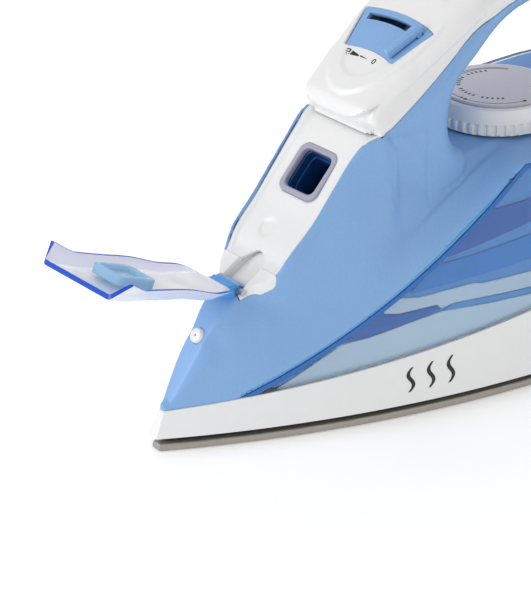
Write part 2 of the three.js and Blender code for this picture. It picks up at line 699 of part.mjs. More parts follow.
function dial() {
  const teeth = 45;
  const rim = new THREE.Shape();
  for (let i = 0; i < teeth; i++) {
    const corners = [[DIAL_R + 0.2, 0], [DIAL_R + 1.1, 0.28], [DIAL_R + 1.1, 0.72]];
    for (const [r, part] of corners) {
      const angle = (2 * Math.PI * (i + part)) / teeth;
      const place = [r * Math.cos(angle), yOf(DIAL_S) + r * Math.sin(angle)];
      if (i === 0 && part === 0) rim.moveTo(...place);
      else rim.lineTo(...place);
    }
  }
  const knurl = prism(rim, 88.7, 92.6);
  const crown = turned([[0, 90], [DIAL_R + 0.3, 90], [DIAL_R + 0.3, 94], [DIAL_R - 0.2, 97.6],
    [DIAL_R - 1.2, 98.9],
    [21.6, 98.9], [21.6, 98.2], [0, 98.2]], 0, DIAL_S, 40);
  return knurl.add(crown).subtract(post(2.5, 80, 92.4, 0, DIAL_S, 12));
}

const dialCap = () =>
  turned([[0, 98.5], [21.2, 98.5], [21.2, 99.1], [20.6, 99.3], [0, 99.6]], 0, DIAL_S, 36);

// ---------- rear ----------
const GLAND_S = 262;
const GLAND_Z = 118;

function rearAxis(made, tilt = 12) {
  const frame = new THREE.Matrix4().makeRotationX(rad(tilt - 90));
  frame.setPosition(0, yOf(GLAND_S), GLAND_Z);
  return made.transform(frame.elements);
}

const glandBay = () => rearAxis(post(8.6, -30, 30, 0, -NOSE_Y));

function rearCover() {
  return outerForm.intersect(rearRegion).subtract(innerForm).subtract(glandBay());
}

function cordGland() {
  const profile = [[0, -5], [4, -5], [7, -2.4], [7.8, 0], [7, 2.4], [5.6, 5], [5, 15], [4.4, 16], [0, 16]];
  return rearAxis(turned(profile, 0, -NOSE_Y, 18).subtract(post(3.3, -10, 30, 0, -NOSE_Y, 12)));
}

const thermalFuse = () =>
  crossBar(1.8, -8, 8, DIAL_S + 18, 14.5).add(crossBar(0.6, -9.6, 9.6, DIAL_S + 18, 14.5));

// A rubber pad on the heel's leaning rear face.
function heelPad(x) {
  const z = 44;
  const frame = new THREE.Matrix4().makeRotationX(rad(-90) - Math.atan(HEEL_LEAN));
  frame.setPosition(x, yOf(leaning(233.4, z)), z);
  return post(4, GAP, 2, 0, -NOSE_Y, 14).transform(frame.elements);
}

const terminalBlock = () => box(-11, 11, 214, 222, CASTING_TOP + 7, 27);

// ---------- assembly ----------
const finish = (color, roughness, metalness = 0, extra = {}) =>
  new THREE.MeshStandardMaterial({ color, roughness, metalness, ...extra });
const clear = { transparent: true, opacity: 0.75 };
const WHITE = finish(0xe9e9ea, 0.35);
const SKY = finish(0x8fb6e2, 0.4);
const TANK_BLUE = finish(0x3f86d2, 0.12, 0, clear);
const STEEL = finish(0xa8a8a6, 0.3, 1);
const TAUPE = finish(0x8e8981, 0.4, 0.6);
const ALUMINIUM = finish(0xb9bbbd, 0.5, 1);
const BLACK = finish(0x1b1b1c, 0.6);
const RUBBER = finish(0x9a9bb0, 0.7);
const BRASS = finish(0xb08d4a, 0.35, 1);
const AMBER = finish(0xd98a2b, 0.2, 0, clear);

const iron = new THREE.Group();

function put(name, made, material) {
  const mesh = new THREE.Mesh(geometryOf(made), material);
  mesh.name = name;
  iron.add(mesh);
}

put("soleplate", soleplate(), TAUPE);
put("heater_casting", heaterCasting(), ALUMINIUM);
put("heating_element", rod(elementPath(240), 2.9, 36, 6).intersect(box(-60, 60, 0, 222, 0, 20)), STEEL);
put("chamber_cover", chamberCover(), ALUMINIUM);
put("heat_shield", heatShield(), BLACK);
for (const [name, x, station] of SCREWS) put(name, soleScrew(x, station), STEEL);
put("skirt", skirt(), WHITE);
put("water_tank", largest(waterTank()), TANK_BLUE);
put("front_shell", frontShell(), SKY);
put("fill_panel", fillPanel(), WHITE);
put("fill_gasket", fillGasket(), RUBBER);
put("fill_lid", fillLid(), TANK_BLUE);
put("lid_plug", lidPlug(), TANK_BLUE);
put("lid_hinge_pin", crossBar(1.2, -8.6, 8.6, HINGE_S, HINGE_Z), STEEL);
put("spray_nozzle", sprayNozzle(), WHITE);
put("nozzle_hose", nozzleHose(), RUBBER);
put("handle_cover", handleCover(), WHITE);
put("slider_plate", sliderPlate(), SKY);
put("steam_slider", steamSlider(), SKY);
put("valve_rod", valveRod(), WHITE);
put("valve_seat", valveSeat(), BRASS);
put("valve_grommet", valveGrommet(), RUBBER);
put("drip_tube", dripTube(), RUBBER);
const PUMPS = [["spray", SPRAY_S, 134.9, 152.4], ["burst", BURST_S, 139.4, 156]];
for (const [name, s, base, top] of PUMPS) {
  put(`${name}_button`, button(s, base, top), WHITE);
  put(`${name}_piston`, piston(s, base), BRASS);
  put(`${name}_pump`, pump(s, base), WHITE);
  put(`${name}_spring`, returnSpring(s, base + 7.1, top - 6.6), STEEL);
}
put("dial", dial(), WHITE);
put("dial_cap", dialCap(), WHITE);
put("thermostat_spindle", thermostatSpindle(), STEEL);
put("thermostat_body", thermostatBody(), BRASS);
put("lamp_lens", turned([[0, 143], [3.1, 143], [3.1, 149.4], [2.4, 150.4], [0, 150.8]], 0, 222), AMBER);
put("rear_cover", rearCover(), WHITE);
put("cord_gland", cordGland(), BLACK);
put("heel_pad_left", heelPad(6.5), RUBBER);
put("heel_pad_right", heelPad(-6.5), RUBBER);
put("thermal_fuse", thermalFuse(), STEEL);
put("terminal_block", terminalBlock(), WHITE);

export default iron;
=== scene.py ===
"""Steam iron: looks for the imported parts, in metres, in the part's own frame.

Shapes are worked out in millimetres as (x, s, z): s is the distance behind the soleplate's tip.
"""
import json
from math import copysign, cos, hypot, pi, radians, sin, sqrt

import bmesh
import bpy
import numpy as np
from mathutils import Matrix, Vector

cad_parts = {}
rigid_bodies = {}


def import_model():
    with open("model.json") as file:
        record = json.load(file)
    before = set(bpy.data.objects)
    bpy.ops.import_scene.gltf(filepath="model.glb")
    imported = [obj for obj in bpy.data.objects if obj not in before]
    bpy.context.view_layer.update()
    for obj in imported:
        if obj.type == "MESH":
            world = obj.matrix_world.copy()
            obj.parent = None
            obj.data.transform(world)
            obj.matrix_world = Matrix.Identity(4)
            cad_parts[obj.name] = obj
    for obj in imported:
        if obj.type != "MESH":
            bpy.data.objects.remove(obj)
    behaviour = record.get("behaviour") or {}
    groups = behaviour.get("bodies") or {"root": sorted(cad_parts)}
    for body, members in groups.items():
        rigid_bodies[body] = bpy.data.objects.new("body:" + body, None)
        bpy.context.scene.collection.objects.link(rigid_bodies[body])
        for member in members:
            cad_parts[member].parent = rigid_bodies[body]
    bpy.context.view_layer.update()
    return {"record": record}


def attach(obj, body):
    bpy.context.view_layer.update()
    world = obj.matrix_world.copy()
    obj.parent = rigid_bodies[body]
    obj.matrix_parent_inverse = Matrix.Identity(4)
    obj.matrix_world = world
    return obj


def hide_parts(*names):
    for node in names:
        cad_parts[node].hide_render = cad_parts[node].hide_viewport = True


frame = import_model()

MM = 0.001
NOSE_Y = -118.0  # the soleplate's tip, in the frame's millimetres
ROOT = "iron_body"
JOINTS = {joint["name"]: joint for joint in frame["record"]["behaviour"]["joints"]}


# ---------- small helpers ----------
def joint_place(name):
    """A joint's station and height in millimetres."""
    y, z = JOINTS[name]["pos_m"][1:]
    return y / MM - NOSE_Y, z / MM


def ridden(piece, slot, *replaced, body=ROOT):
    """Puts a piece on its body and hides the nodes it stands for; the slot is not used."""
    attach(piece, body)
    if replaced:
        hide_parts(*replaced)
    return piece


def smooth(v, low, high):
    t = np.clip((np.asarray(v, float) - low) / (high - low), 0, 1)
    return t * t * (3 - 2 * t)


def fade(v, low, high):
    return 1 - smooth(v, low, high)


def lerp(a, b, t):
    return a + (b - a) * t


def linked(name, data):
    """A new object in the scene."""
    made = bpy.data.objects.new(name, data)
    bpy.context.scene.collection.objects.link(made)
    return made


def world(points):
    """Row-frame metres from (x, s, z) millimetres."""
    p = np.asarray(points, float)
    return (p + np.array([0.0, NOSE_Y, 0.0])) * MM


def smooth_line(points, steps=6):
    """A finer version of a line that passes through its points."""
    pts = np.array(points, float)
    ends = np.vstack([2 * pts[0] - pts[1], pts, 2 * pts[-1] - pts[-2]])
    out = []
    for i in range(1, len(ends) - 2):
        a, b, c, d = ends[i - 1 : i + 3]
        for k in range(steps):
            t = k / steps
            out.append(0.5 * (2 * b + (c - a) * t + (2 * a - 5 * b + 4 * c - d) * t * t
                              + (3 * b - a - 3 * c + d) * t ** 3))
    return np.array([*out, pts[-1]])


def spline(points):
    """A smooth function through [s, value] points."""
    table = smooth_line(points, 12)
    return lambda v: np.interp(v, table[:, 0], table[:, 1])


# ---------- meshes ----------
class Sheet:
    """A polygon mesh in numpy: points, a table of quads, and a list of other polygons."""

    def __init__(self, points, quads, polys=()):
        self.points = np.asarray(points, float)
        self.quads = np.asarray(quads, int).reshape(-1, 4)
        self.polys = list(polys)

    def clip(self, field):
        """Keeps the part where field(points) is negative, cut along its zero line."""
        value = field(self.points)
        value = np.where(np.abs(value) < 1e-3, -1e-3, value)
        inside = value < 0
        count = inside[self.quads].sum(axis=1)
        mixed = [tuple(q) for q in self.quads[(count > 0) & (count < 4)]] + self.polys
        cuts, added, kept = {}, [], []
        for poly in mixed:
            ring = []
            for a, b in zip(poly, poly[1:] + poly[:1]):
                if inside[a]:
                    ring.append(a)
                if inside[a] != inside[b]:
                    key = (min(a, b), max(a, b))
                    if key not in cuts:
                        part = value[a] / (value[a] - value[b])
                        cuts[key] = len(self.points) + len(added)
                        added.append(lerp(self.points[a], self.points[b], part))
                    ring.append(cuts[key])
            if len(ring) > 2:
                kept.append(tuple(ring))
        points = np.vstack([self.points, added]) if added else self.points
        return Sheet(points, self.quads[count == 4], kept)

    def moved(self, function):
        return Sheet(function(self.points), self.quads, self.polys)

    def joined(self, other):
        shift = len(self.points)
        points = np.vstack([self.points, other.points])
        polys = self.polys + [tuple(i + shift for i in p) for p in other.polys]
        return Sheet(points, np.vstack([self.quads, other.quads + shift]), polys)


def grid(us, vs, place, wrap_u=False, wrap_v=False):
    """A sheet of quads at place(u, v)."""
    points = np.array([place(u, v) for u in us for v in vs])
    nu, nv = len(us), len(vs)
    quads = []
    for i in range(nu if wrap_u else nu - 1):
        for j in range(nv if wrap_v else nv - 1):
            k, l = (i + 1) % nu, (j + 1) % nv
            quads.append((i * nv + j, k * nv + j, k * nv + l, i * nv + l))
    return Sheet(points, quads)


def ring_quads(rings, count, wrap=False):
    """Quads between neighbouring rings of count points each."""
    quads = []
    for ring in range(rings if wrap else rings - 1):
        near, far = ring * count, (ring + 1) % rings * count
        quads += [(near + i, near + (i + 1) % count, far + (i + 1) % count, far + i) for i in range(count)]
    return quads


def build(name, sheet, material, angle=35, weld=0.05):
    """An object from a sheet, with smooth shading and sharp edges above the angle."""
    faces = [tuple(q) for q in sheet.quads] + sheet.polys
    used = np.unique(np.concatenate([sheet.quads.ravel(), *sheet.polys]))
    index = np.full(len(sheet.points), -1)
    index[used] = np.arange(len(used))
    faces = [tuple(int(index[i]) for i in face) for face in faces]
    mesh = bpy.data.meshes.new(name)
    mesh.from_pydata(world(sheet.points[used]).tolist(), [], faces)
    bm = bmesh.new()
    bm.from_mesh(mesh)
    bmesh.ops.remove_doubles(bm, verts=bm.verts, dist=weld * MM)
    bmesh.ops.delete(bm, geom=[v for v in bm.verts if not v.link_faces], context="VERTS")
    bm.to_mesh(mesh)
    bm.free()
    mesh.shade_smooth()
    mesh.set_sharp_from_angle(angle=radians(angle))
    mesh.materials.append(material)
    return linked(name, mesh)


def thicken(piece, wall, offset=-1.0):
    """Gives a sheet a wall behind its face, or in front of it with an offset of 1."""
    solid = piece.modifiers.new("wall", "SOLIDIFY")
    solid.thickness = wall * MM
    solid.offset = offset
    solid.use_quality_normals = True
    return piece


def soften(piece, width):
    """Rounds a piece's sharp edges."""
    bevel = piece.modifiers.new("edge", "BEVEL")
    bevel.width = width * MM
    bevel.segments = 2
    bevel.limit_method = "ANGLE"
    bevel.angle_limit = radians(40)
    bevel.harden_normals = False
    return piece


# ---------- materials ----------
LEAST_GRAIN = 0.02
SMEAR_SCALE = 60  # of the patches of rougher and smoother surface
RELIEF = 0.4 * MM


def finish(name, colour, rough, grain, grain_scale, bump, bump_scale, spread=0.06, **sockets):
    """A principled material with colour grain, roughness variation and a fine bump."""
    made = bpy.data.materials.new(name)
    made.use_nodes = True
    nodes, links = made.node_tree.nodes, made.node_tree.links
    shader = nodes["Principled BSDF"]
    for key, value in sockets.items():
        shader.inputs[key.replace("_", " ")].default_value = value
    place = nodes.new("ShaderNodeTexCoord")

    def noise(scale, detail):
        node = nodes.new("ShaderNodeTexNoise")
        node.inputs["Scale"].default_value = scale
        node.inputs["Detail"].default_value = detail
        links.new(place.outputs["Object"], node.inputs["Vector"])
        return node.outputs["Fac"]

    tint = nodes.new("ShaderNodeMix")
    tint.data_type = "RGBA"
    grain = max(grain, LEAST_GRAIN)
    dark = [c * (1 - grain) for c in colour]
    light = [min(1.0, c * (1 + grain)) for c in colour]
    tint.inputs["A"].default_value = (*dark, 1)
    tint.inputs["B"].default_value = (*light, 1)
    links.new(noise(grain_scale, 3), tint.inputs["Factor"])
    links.new(tint.outputs["Result"], shader.inputs["Base Color"])
    level = nodes.new("ShaderNodeMapRange")
    level.inputs["To Min"].default_value = max(0.02, rough - spread)
    level.inputs["To Max"].default_value = rough + spread
    links.new(noise(SMEAR_SCALE, 4), level.inputs["Value"])
    links.new(level.outputs["Result"], shader.inputs["Roughness"])
    relief = nodes.new("ShaderNodeBump")
    relief.inputs["Strength"].default_value = bump
    relief.inputs["Distance"].default_value = RELIEF
    links.new(noise(bump_scale, 2), relief.inputs["Height"])
    links.new(relief.outputs["Normal"], shader.inputs["Normal"])
    return made


WHITE = finish("white_plastic", (0.80, 0.80, 0.80), 0.34, 0.02, 300, 0.03, 1200)
SKY = finish("sky_plastic", (0.215, 0.40, 0.70), 0.42, 0.10, 1500, 0.08, 1500, 0.05)
TANK = finish("tank_plastic", (0.76, 0.88, 1.0), 0.10, 0.02, 60, 0.02, 200, 0.03,
              Transmission_Weight=0.95, IOR=1.25)
INNER = finish("inner_liner", (0.14, 0.41, 0.82), 0.5, 0.05, 90, 0.02, 300)
# painted light: white and pale liners for the tank's pale highlight bands
MIST_LIGHT_LINER = finish("mist_painted_light_liner", (1.0, 1.0, 1.0), 0.5, 0.02, 90, 0.02, 300)
PALE_LIGHT_LINER = finish("pale_painted_light_liner", (1.0, 0.97, 1.0), 0.5, 0.05, 90, 0.02, 300)
# painted shade: navy for the dark bands that refraction and shade give the tank
NAVY_SHADE_LINER = finish("navy_painted_shade_liner", (0.01, 0.155, 0.56), 0.4, 0.08, 90, 0.02, 300)
BLUE_LINER = finish("blue_liner", (0.03, 0.30, 0.77), 0.4, 0.08, 90, 0.02, 300)
# painted shade: the dark blue of the tank's upper edge band stands partly for its thick edge and partly for
# the shadow in the gap under the shell's edge
EDGE_SHADE_BLUE = finish("tank_edge_painted_shade", (0.02, 0.14, 0.46), 0.16, 0.05, 200, 0.02, 300)
# painted light: saturated blue for the shell's rounded lower edge, standing in for the light that edge
# catches
EDGE_LIGHT_BLUE = finish("shell_edge_painted_light", (0.09, 0.33, 0.66), 0.30, 0.05, 900, 0.04, 1500)
# painted shade: near-black blue for the inside of the fill opening
DEEP_SHADE = finish("neck_painted_shade", (0.008, 0.05, 0.20), 0.16, 0.05, 200, 0.02, 300)
LAVENDER = finish("dial_top_plastic", (0.56, 0.53, 0.57), 0.30, 0.05, 300, 0.05, 1200)
CLEAR = finish("lid_plastic", (0.85, 0.86, 0.96), 0.25, 0.02, 60, 0.01, 200, 0.02,
               Transmission_Weight=0.5, IOR=1.12)
PLUG = finish("plug_plastic", (0.52, 0.78, 0.98), 0.08, 0.02, 60, 0.01, 200, 0.02,
              Transmission_Weight=0.55, IOR=1.2)
# painted light: saturated blue for the clear lid's edges, standing in for light guided through the plastic
LID_EDGE_LIGHT = finish("lid_edge_painted_light", (0.002, 0.065, 0.52), 0.2, 0.03, 200, 0.02, 300, 0.04)
TAUPE = finish("sole_metal", (0.36, 0.335, 0.30), 0.38, 0.06, 900, 0.05, 1800, 0.06, Metallic=0.55)
ALUMINIUM = finish("aluminium", (0.55, 0.56, 0.57), 0.45, 0.08, 700, 0.15, 900, Metallic=1.0)
STEEL = finish("steel", (0.50, 0.50, 0.50), 0.28, 0.05, 900, 0.05, 1500, Metallic=1.0)
BRASS = finish("brass", (0.52, 0.36, 0.13), 0.32, 0.06, 700, 0.05, 1200, Metallic=1.0)
BLACK = finish("black_plastic", (0.015, 0.015, 0.016), 0.55, 0.2, 900, 0.15, 1500)
RUBBER = finish("grey_rubber", (0.36, 0.36, 0.46), 0.55, 0.05, 900, 0.06, 1500)
AMBER = finish("amber_lens", (0.75, 0.28, 0.04), 0.12, 0.03, 300, 0.02, 600, 0.04,
               Transmission_Weight=0.5)
SLOTS = {
    "white_plastic": WHITE, "sky_plastic": SKY, "tank_plastic": TANK, "sole_metal": TAUPE,
    "aluminium": ALUMINIUM, "steel": STEEL, "brass": BRASS, "black_plastic": BLACK,
    "grey_rubber": RUBBER, "amber_lens": AMBER,
}
for part in frame["record"]["subparts"]:
    node = bpy.data.objects[part["node"]]
    node.data.materials.clear()
    node.data.materials.append(SLOTS[part["material_slot"]])

# ---------- camera, lights and floor ----------
VIEW_AZIMUTH = radians(50.5)
VIEW_RISE = radians(26)
CAMERA_PLACE = (0.805757, -0.731128, 0.553538)
LENS = 192
camera = linked("camera", bpy.data.cameras.new("camera"))
bpy.context.scene.camera = camera
back = Vector((sin(VIEW_AZIMUTH) * cos(VIEW_RISE),
               -cos(VIEW_AZIMUTH) * cos(VIEW_RISE),
               sin(VIEW_RISE)))
camera.location = CAMERA_PLACE
camera.rotation_mode = "QUATERNION"
camera.rotation_quaternion = (-back).to_track_quat("-Z", "Y")
camera.data.lens = LENS
camera.data.sensor_width = 36
camera.data.clip_start = 0.05


def softbox(name, place, target, size, power):
    """A rectangular lamp, size metres by metres, turned to its target."""
    lamp = bpy.data.lights.new(name, "AREA")
    lamp.shape = "RECTANGLE"
    lamp.size, lamp.size_y = size
    lamp.energy = power
    made = linked(name, lamp)
    made.location = place
    made.rotation_mode = "QUATERNION"
    made.rotation_quaternion = (Vector(target) - Vector(place)).to_track_quat("-Z", "Y")


softbox("key", (-0.5, -1.8, 0.9), (0, 0, 0.06), (1.4, 1.0), 19)
softbox("side", (1.5, 0.1, 0.7), (0, 0.02, 0.06), (1.2, 1.0), 2.6)
softbox("back", (-0.9, 1.2, 1.2), (0, 0, 0.08), (1.2, 1.0), 5)
surround = bpy.data.worlds.new("studio")
surround.use_nodes = True
sky = surround.node_tree.nodes["Background"]
sky.inputs["Color"].default_value = (1, 1, 1, 1)
sky.inputs["Strength"].default_value = 0.62
bpy.context.scene.world = surround
bpy.context.scene.view_settings.view_transform = "Standard"

FLOOR_HALF = 6.0
FLOOR_Z = -0.0003
floor_mesh = bpy.data.meshes.new("floor")
floor_mesh.from_pydata([(x * FLOOR_HALF, y * FLOOR_HALF, FLOOR_Z)
                        for x, y in ((-1, -1), (1, -1), (1, 1), (-1, 1))], [], [(0, 1, 2, 3)])
floor = linked("floor", floor_mesh)
floor_mesh.materials.append(finish("floor", (0.93, 0.93, 0.93), 0.6, 0.005, 20, 0.0, 50,
                                   Emission_Color=(1, 1, 1, 1), Emission_Strength=0.25))

# ---------- the iron's outer form ----------
# The footprint: two arcs of SIDE_R from the tip to the widest station, then a round heel.
WIDEST_S = 195.0
SIDE_R = 395.0
SIDE_CENTRE = 341.5  # the arcs' centres lie this far beyond the middle line
HALF_WIDTH = SIDE_R - SIDE_CENTRE
SOLE_LENGTH = 236.0
HEEL_POWER = 2.6  # of the superellipse round the heel
SKIRT_BOTTOM = 5.8
SKIRT_OUT = 1.7  # how far the skirt's foot stands outside the footprint
BODY_IN = -2.3  # and how far its top stands inside
HEEL_LEAN = 0.25
DECK_Z = 88.0  # the deck under the dial
SHOULDER_Z = DECK_Z - 1.7
WALL = 2.0
HINGE_S, HINGE_Z = joint_place("lid_hinge")
LID_OPEN = radians(JOINTS["lid_hinge"]["range_deg"][1])
PANEL_SLOPE = radians(46.5)
FACE_SLOPE = radians(33)  # the face with the steam slider
FACE_S, FACE_Z = 97.5, 127.2
FILL_S, FILL_Z = 70.2, 90.4  # middle of the fill opening
FILL_HALF_W, FILL_HALF_L = 7.8, 7.9
NOZZLE_SLOPE = radians(57)
NOZZLE_S, NOZZLE_Z = 19.5, 39.8


def half_width(s, out=0.0):
    """Half-width of the footprint at station s, moved outwards by out."""
    s = np.asarray(s, float)
    front = np.sqrt(SIDE_R ** 2 - (WIDEST_S - np.minimum(s, WIDEST_S)) ** 2) - SIDE_CENTRE + out
    part = np.clip((s - WIDEST_S) / (SOLE_LENGTH - WIDEST_S + out), 0, 1)
    rear = (HALF_WIDTH + out) * (1 - part ** HEEL_POWER) ** (1 / HEEL_POWER)
    return np.where(s <= WIDEST_S, front, rear)


def nose_station(out):
    """Where the outline moved outwards by out begins, with its blunted tip."""
    blunt = max(1.2, 2 + 0.35 * out)
    return WIDEST_S - sqrt(SIDE_R ** 2 - (SIDE_CENTRE + blunt - out) ** 2)


def skirt_top(s):
    """Height of the skirt's upper edge, which climbs in a soft curve and then runs level."""
    t = np.clip(s, 0, 168)
    return 15 + 0.07 * t + 0.00028 * t * t


def leaning(s, z):
    """The station of a point at height z, with the heel leaning back."""
    return s + HEEL_LEAN * smooth(s, 150, SOLE_LENGTH) * (z - SKIRT_BOTTOM)


def body_half_width(s, z):
    """Half-width of the body: a slightly rounded flank, then the handle's slim rear root."""
    low = np.minimum(z, DECK_Z) - skirt_top(s)
    wall = half_width(s, BODY_IN) - 0.1 * low - 0.0009 * low * low
    return np.where(z <= DECK_Z, wall, lerp(wall, np.minimum(wall, 20.5), smooth(z, DECK_Z, 128)))


SHOULDER_START = 24.9


def shoulder_z(s):
    """Height of the line between the shell and the tank, which climbs from the skirt to the deck."""
    t = np.asarray(s, float) - SHOULDER_START
    return np.where(t <= 0, skirt_top(s), np.minimum(16.6 + 0.42 * t + 0.0015 * t * t, SHOULDER_Z))


# The ridge beside the fill panel, from the tip up to the handle's chin.
ridge_z = spline([[3, 14.9], [19.5, 39.8], [34, 55], [43.7, 61.5], [50.2, 69.2], [59.5, 78],
                  [68.1, 88], [76.7, 97.9], [83.4, 103.8], [89, 105.6]])
ridge_x = spline([[3, 1.3], [19.5, 5], [34, 7.6], [40, 12.6], [45, 15.6], [51, 17.2], [60, 17.7],
                  [76.7, 18], [83.4, 19.2], [89, 20.8]])
FRONT_END = 89.0
TOWER_S = 190.0  # where the deck ends at the handle's rear root


def on_deck(s):
    """How far the section has the flat deck with its rounded shoulders."""
    return smooth(s, 114, 122) * fade(s, 160, 176)


def section_top(s):
    """Upper end of the body's section: half-width and height."""
    if s <= FRONT_END:
        return ridge_x(s), max(ridge_z(s), skirt_top(s) + 2.4)
    leg = lerp(lerp(105.6, 99, smooth(s, FRONT_END, 94)), DECK_Z, smooth(s, 110, 122))
    wide = lerp(lerp(20.8, 20, smooth(s, FRONT_END, 97)), 17.5, smooth(s, 100, 130))
    return (lerp(wide, 10, on_deck(s)),
            lerp(leg, 128, smooth(s, TOWER_S - 6, TOWER_S + 18)))


def body_ring(s, steps):
    """One ring of the body: up its +x side and down its -x side.

    The side runs from the foot to the knee at the shoulder, over the middle corner, where the
    shell is creased, and over an upper corner to the top.
    """
    top_x, top_z = section_top(s)
    deck = on_deck(s)
    foot = skirt_top(s) - 3.0
    knee_z = min(max(shoulder_z(s), skirt_top(s) + 1.3), top_z - 1.7)
    side = [(body_half_width(s, z), z) for z in np.linspace(foot, knee_z, steps)]
    creased = smooth(s, 66, 96)
    knee_x = side[-1][0]
    plain_z = lerp(knee_z, top_z, 0.35)
    plain_x = max(min(body_half_width(s, plain_z), lerp(knee_x, top_x, 0.35) + 2), top_x)
    crease_x = min(21 + max(0, 150 - s) * 0.095, knee_x)
    crease_z = min(min(65.5 + 0.39 * (s - 92), DECK_Z), top_z - 0.8)
    middle_x, middle_z = lerp(plain_x, crease_x, creased), lerp(plain_z, crease_z, creased)
    upper_z = lerp(middle_z, top_z, 0.6)
    upper_x = min(body_half_width(s, upper_z), lerp(plain_x, top_x, 0.6) + 1)
    upper_x = lerp(max(lerp(upper_x, top_x + 0.8, creased), top_x), 18, deck)
    upper_z = lerp(upper_z, lerp(middle_z, top_z, 0.75), deck)
    corners = [side[-1], (middle_x, middle_z), (upper_x, upper_z), (top_x, top_z)]
    for a, b in zip(corners, corners[1:]):
        side += [(lerp(a[0], b[0], k / steps), lerp(a[1], b[1], k / steps)) for k in range(1, steps + 1)]
    right = [(x, leaning(s, z), z) for x, z in side]
    return right + [(-x, t, z) for x, t, z in reversed(right)]


def loft(rings):
    """A closed sheet through rings that run up one side and down the other."""
    count = len(rings[0])
    points = np.array(rings).reshape(-1, 3)
    quads = ring_quads(len(rings), count)
    last = (len(rings) - 1) * count
    for i in range(count // 2 - 1):
        far = count - 1 - i
        quads.append((i + 1, i, far, far - 1))
        quads.append((last + i, last + i + 1, last + far - 1, last + far))
    return Sheet(points, quads)


# The line between the handle cover and the parts below it, and the handle seen from its side.
PARTING = [(88.6, 105), (98, 111), (108, 117.8), (119, 126), (130, 134.8), (141, 139.6), (156, 142.4),
           (185, 144), (215, 141.5), (240, 134), (272, 120)]
HANDLE_OUTLINE = [
    (90.8, 100.5), (84.3, 104.6), (80.4, 110), (81.3, 115.6), (86, 119.8), (98, 127.6), (112, 136.6),
    (126, 144.6), (142, 150.8), (162, 154.6), (185, 155), (210, 151.6), (235, 144), (254, 134),
    (263.5, 125), (263, 116), (254, 110), (240, 110), (230, 116), (222, 124.5), (211, 131), (195, 136.2),
    (175, 138), (158, 136.6), (147, 133.6), (140, 129.8), (132.5, 124), (125.4, 118.2), (121.7, 112),
    (120.4, 104.5), (121, 98), (124, 92), (130, 87), (128, 78), (112, 72), (97, 74), (90, 84)]


def closed_curve(points, steps):
    """Points along a closed centripetal curve, steps to each given point."""
    pts = np.array(points, float)
    out = []
    for i in range(len(pts)):
        p = [pts[(i + k - 1) % len(pts)] for k in range(4)]
        t = [0.0]
        for a, b in zip(p, p[1:]):
            t.append(t[-1] + sqrt(np.linalg.norm(b - a)))
        for k in range(steps):
            v = lerp(t[1], t[2], k / steps)
            a = [lerp(p[j], p[j + 1], (v - t[j]) / (t[j + 1] - t[j])) for j in range(3)]
            b = [lerp(a[j], a[j + 1], (v - t[j]) / (t[j + 2] - t[j])) for j in range(2)]
            out.append(lerp(b[0], b[1], (v - t[1]) / (t[2] - t[1])))
    return np.array(out)


HANDLE_ROUND = 6.0  # radius of the handle's long edges


def handle_half_width(s, z):
    """Half-width of the handle: wider towards the front leg, and widest beside the slider."""
    leg = np.where(s < 93, lerp(17.5, 20.6, (s - 60) / 33), lerp(20.6, 23.6, smooth(s, 93, 112)))
    grip = lerp(leg, 20, smooth(s, 128, 165))
    beside = smooth(z, 100, 110) * smooth(s, 87, 101) * fade(s, 105, 125)
    return lerp(grip, np.maximum(grip, 22.6), beside)


def handle_form():
    """The handle and its front leg: a rounded slab whose width follows handle_half_width."""
    outline = closed_curve(HANDLE_OUTLINE, 8)
    tangent = np.roll(outline, -1, axis=0) - np.roll(outline, 1, axis=0)
    tangent /= np.linalg.norm(tangent, axis=1)[:, None]
    inward = np.column_stack([tangent[:, 1], -tangent[:, 0]])
    rings = []
    for angle in np.linspace(0, pi / 2, 7):
        ring = outline + inward * HANDLE_ROUND * (1 - cos(angle))
        width = handle_half_width(ring[:, 0], ring[:, 1]) - (HANDLE_ROUND + 0.5) * (1 - sin(angle))
        rings.append(np.column_stack([width, ring[:, 0], ring[:, 1]]))
    left = [np.column_stack([-r[:, 0], r[:, 1], r[:, 2]]) for r in rings]
    rows = rings[::-1] + left
    count = len(outline)
    last = (len(rows) - 1) * count
    caps = [tuple(range(count - 1, -1, -1)), tuple(range(last, last + count))]
    return Sheet(np.vstack(rows), ring_quads(len(rows), count), caps)


def melted(sheets, voxel, rounds):
    """One even skin round overlapping closed sheets, with its creases slightly softened."""
    whole = sheets[0]
    for sheet in sheets[1:]:
        whole = whole.joined(sheet)
    rough = build("rough_form", whole, WHITE)
    remesh = rough.modifiers.new("skin", "REMESH")
    remesh.mode = "VOXEL"
    remesh.voxel_size = voxel * MM
    made = rough.evaluated_get(bpy.context.evaluated_depsgraph_get()).to_mesh()
    points = np.empty(len(made.vertices) * 3)
    made.vertices.foreach_get("co", points)
    sizes = np.empty(len(made.polygons), int)
    made.polygons.foreach_get("loop_total", sizes)
    corners = np.empty(len(made.loops), int)
    made.loops.foreach_get("vertex_index", corners)
    edges = np.empty(len(made.edges) * 2, int)
    made.edges.foreach_get("vertices", edges)
    bpy.data.objects.remove(rough)
    assert (sizes == 4).all()
    points = points.reshape(-1, 3) / MM - np.array([0.0, NOSE_Y, 0.0])
    edges = edges.reshape(-1, 2)
    degree = np.bincount(edges.ravel(), minlength=len(points))[:, None]
    for _ in range(rounds):
        total = np.zeros_like(points)
        for axis in range(3):
            total[:, axis] = (np.bincount(edges[:, 0], points[edges[:, 1], axis], len(points))
                              + np.bincount(edges[:, 1], points[edges[:, 0], axis], len(points)))
        points = lerp(points, total / degree, 0.5)
    return Sheet(points, corners.reshape(-1, 4))


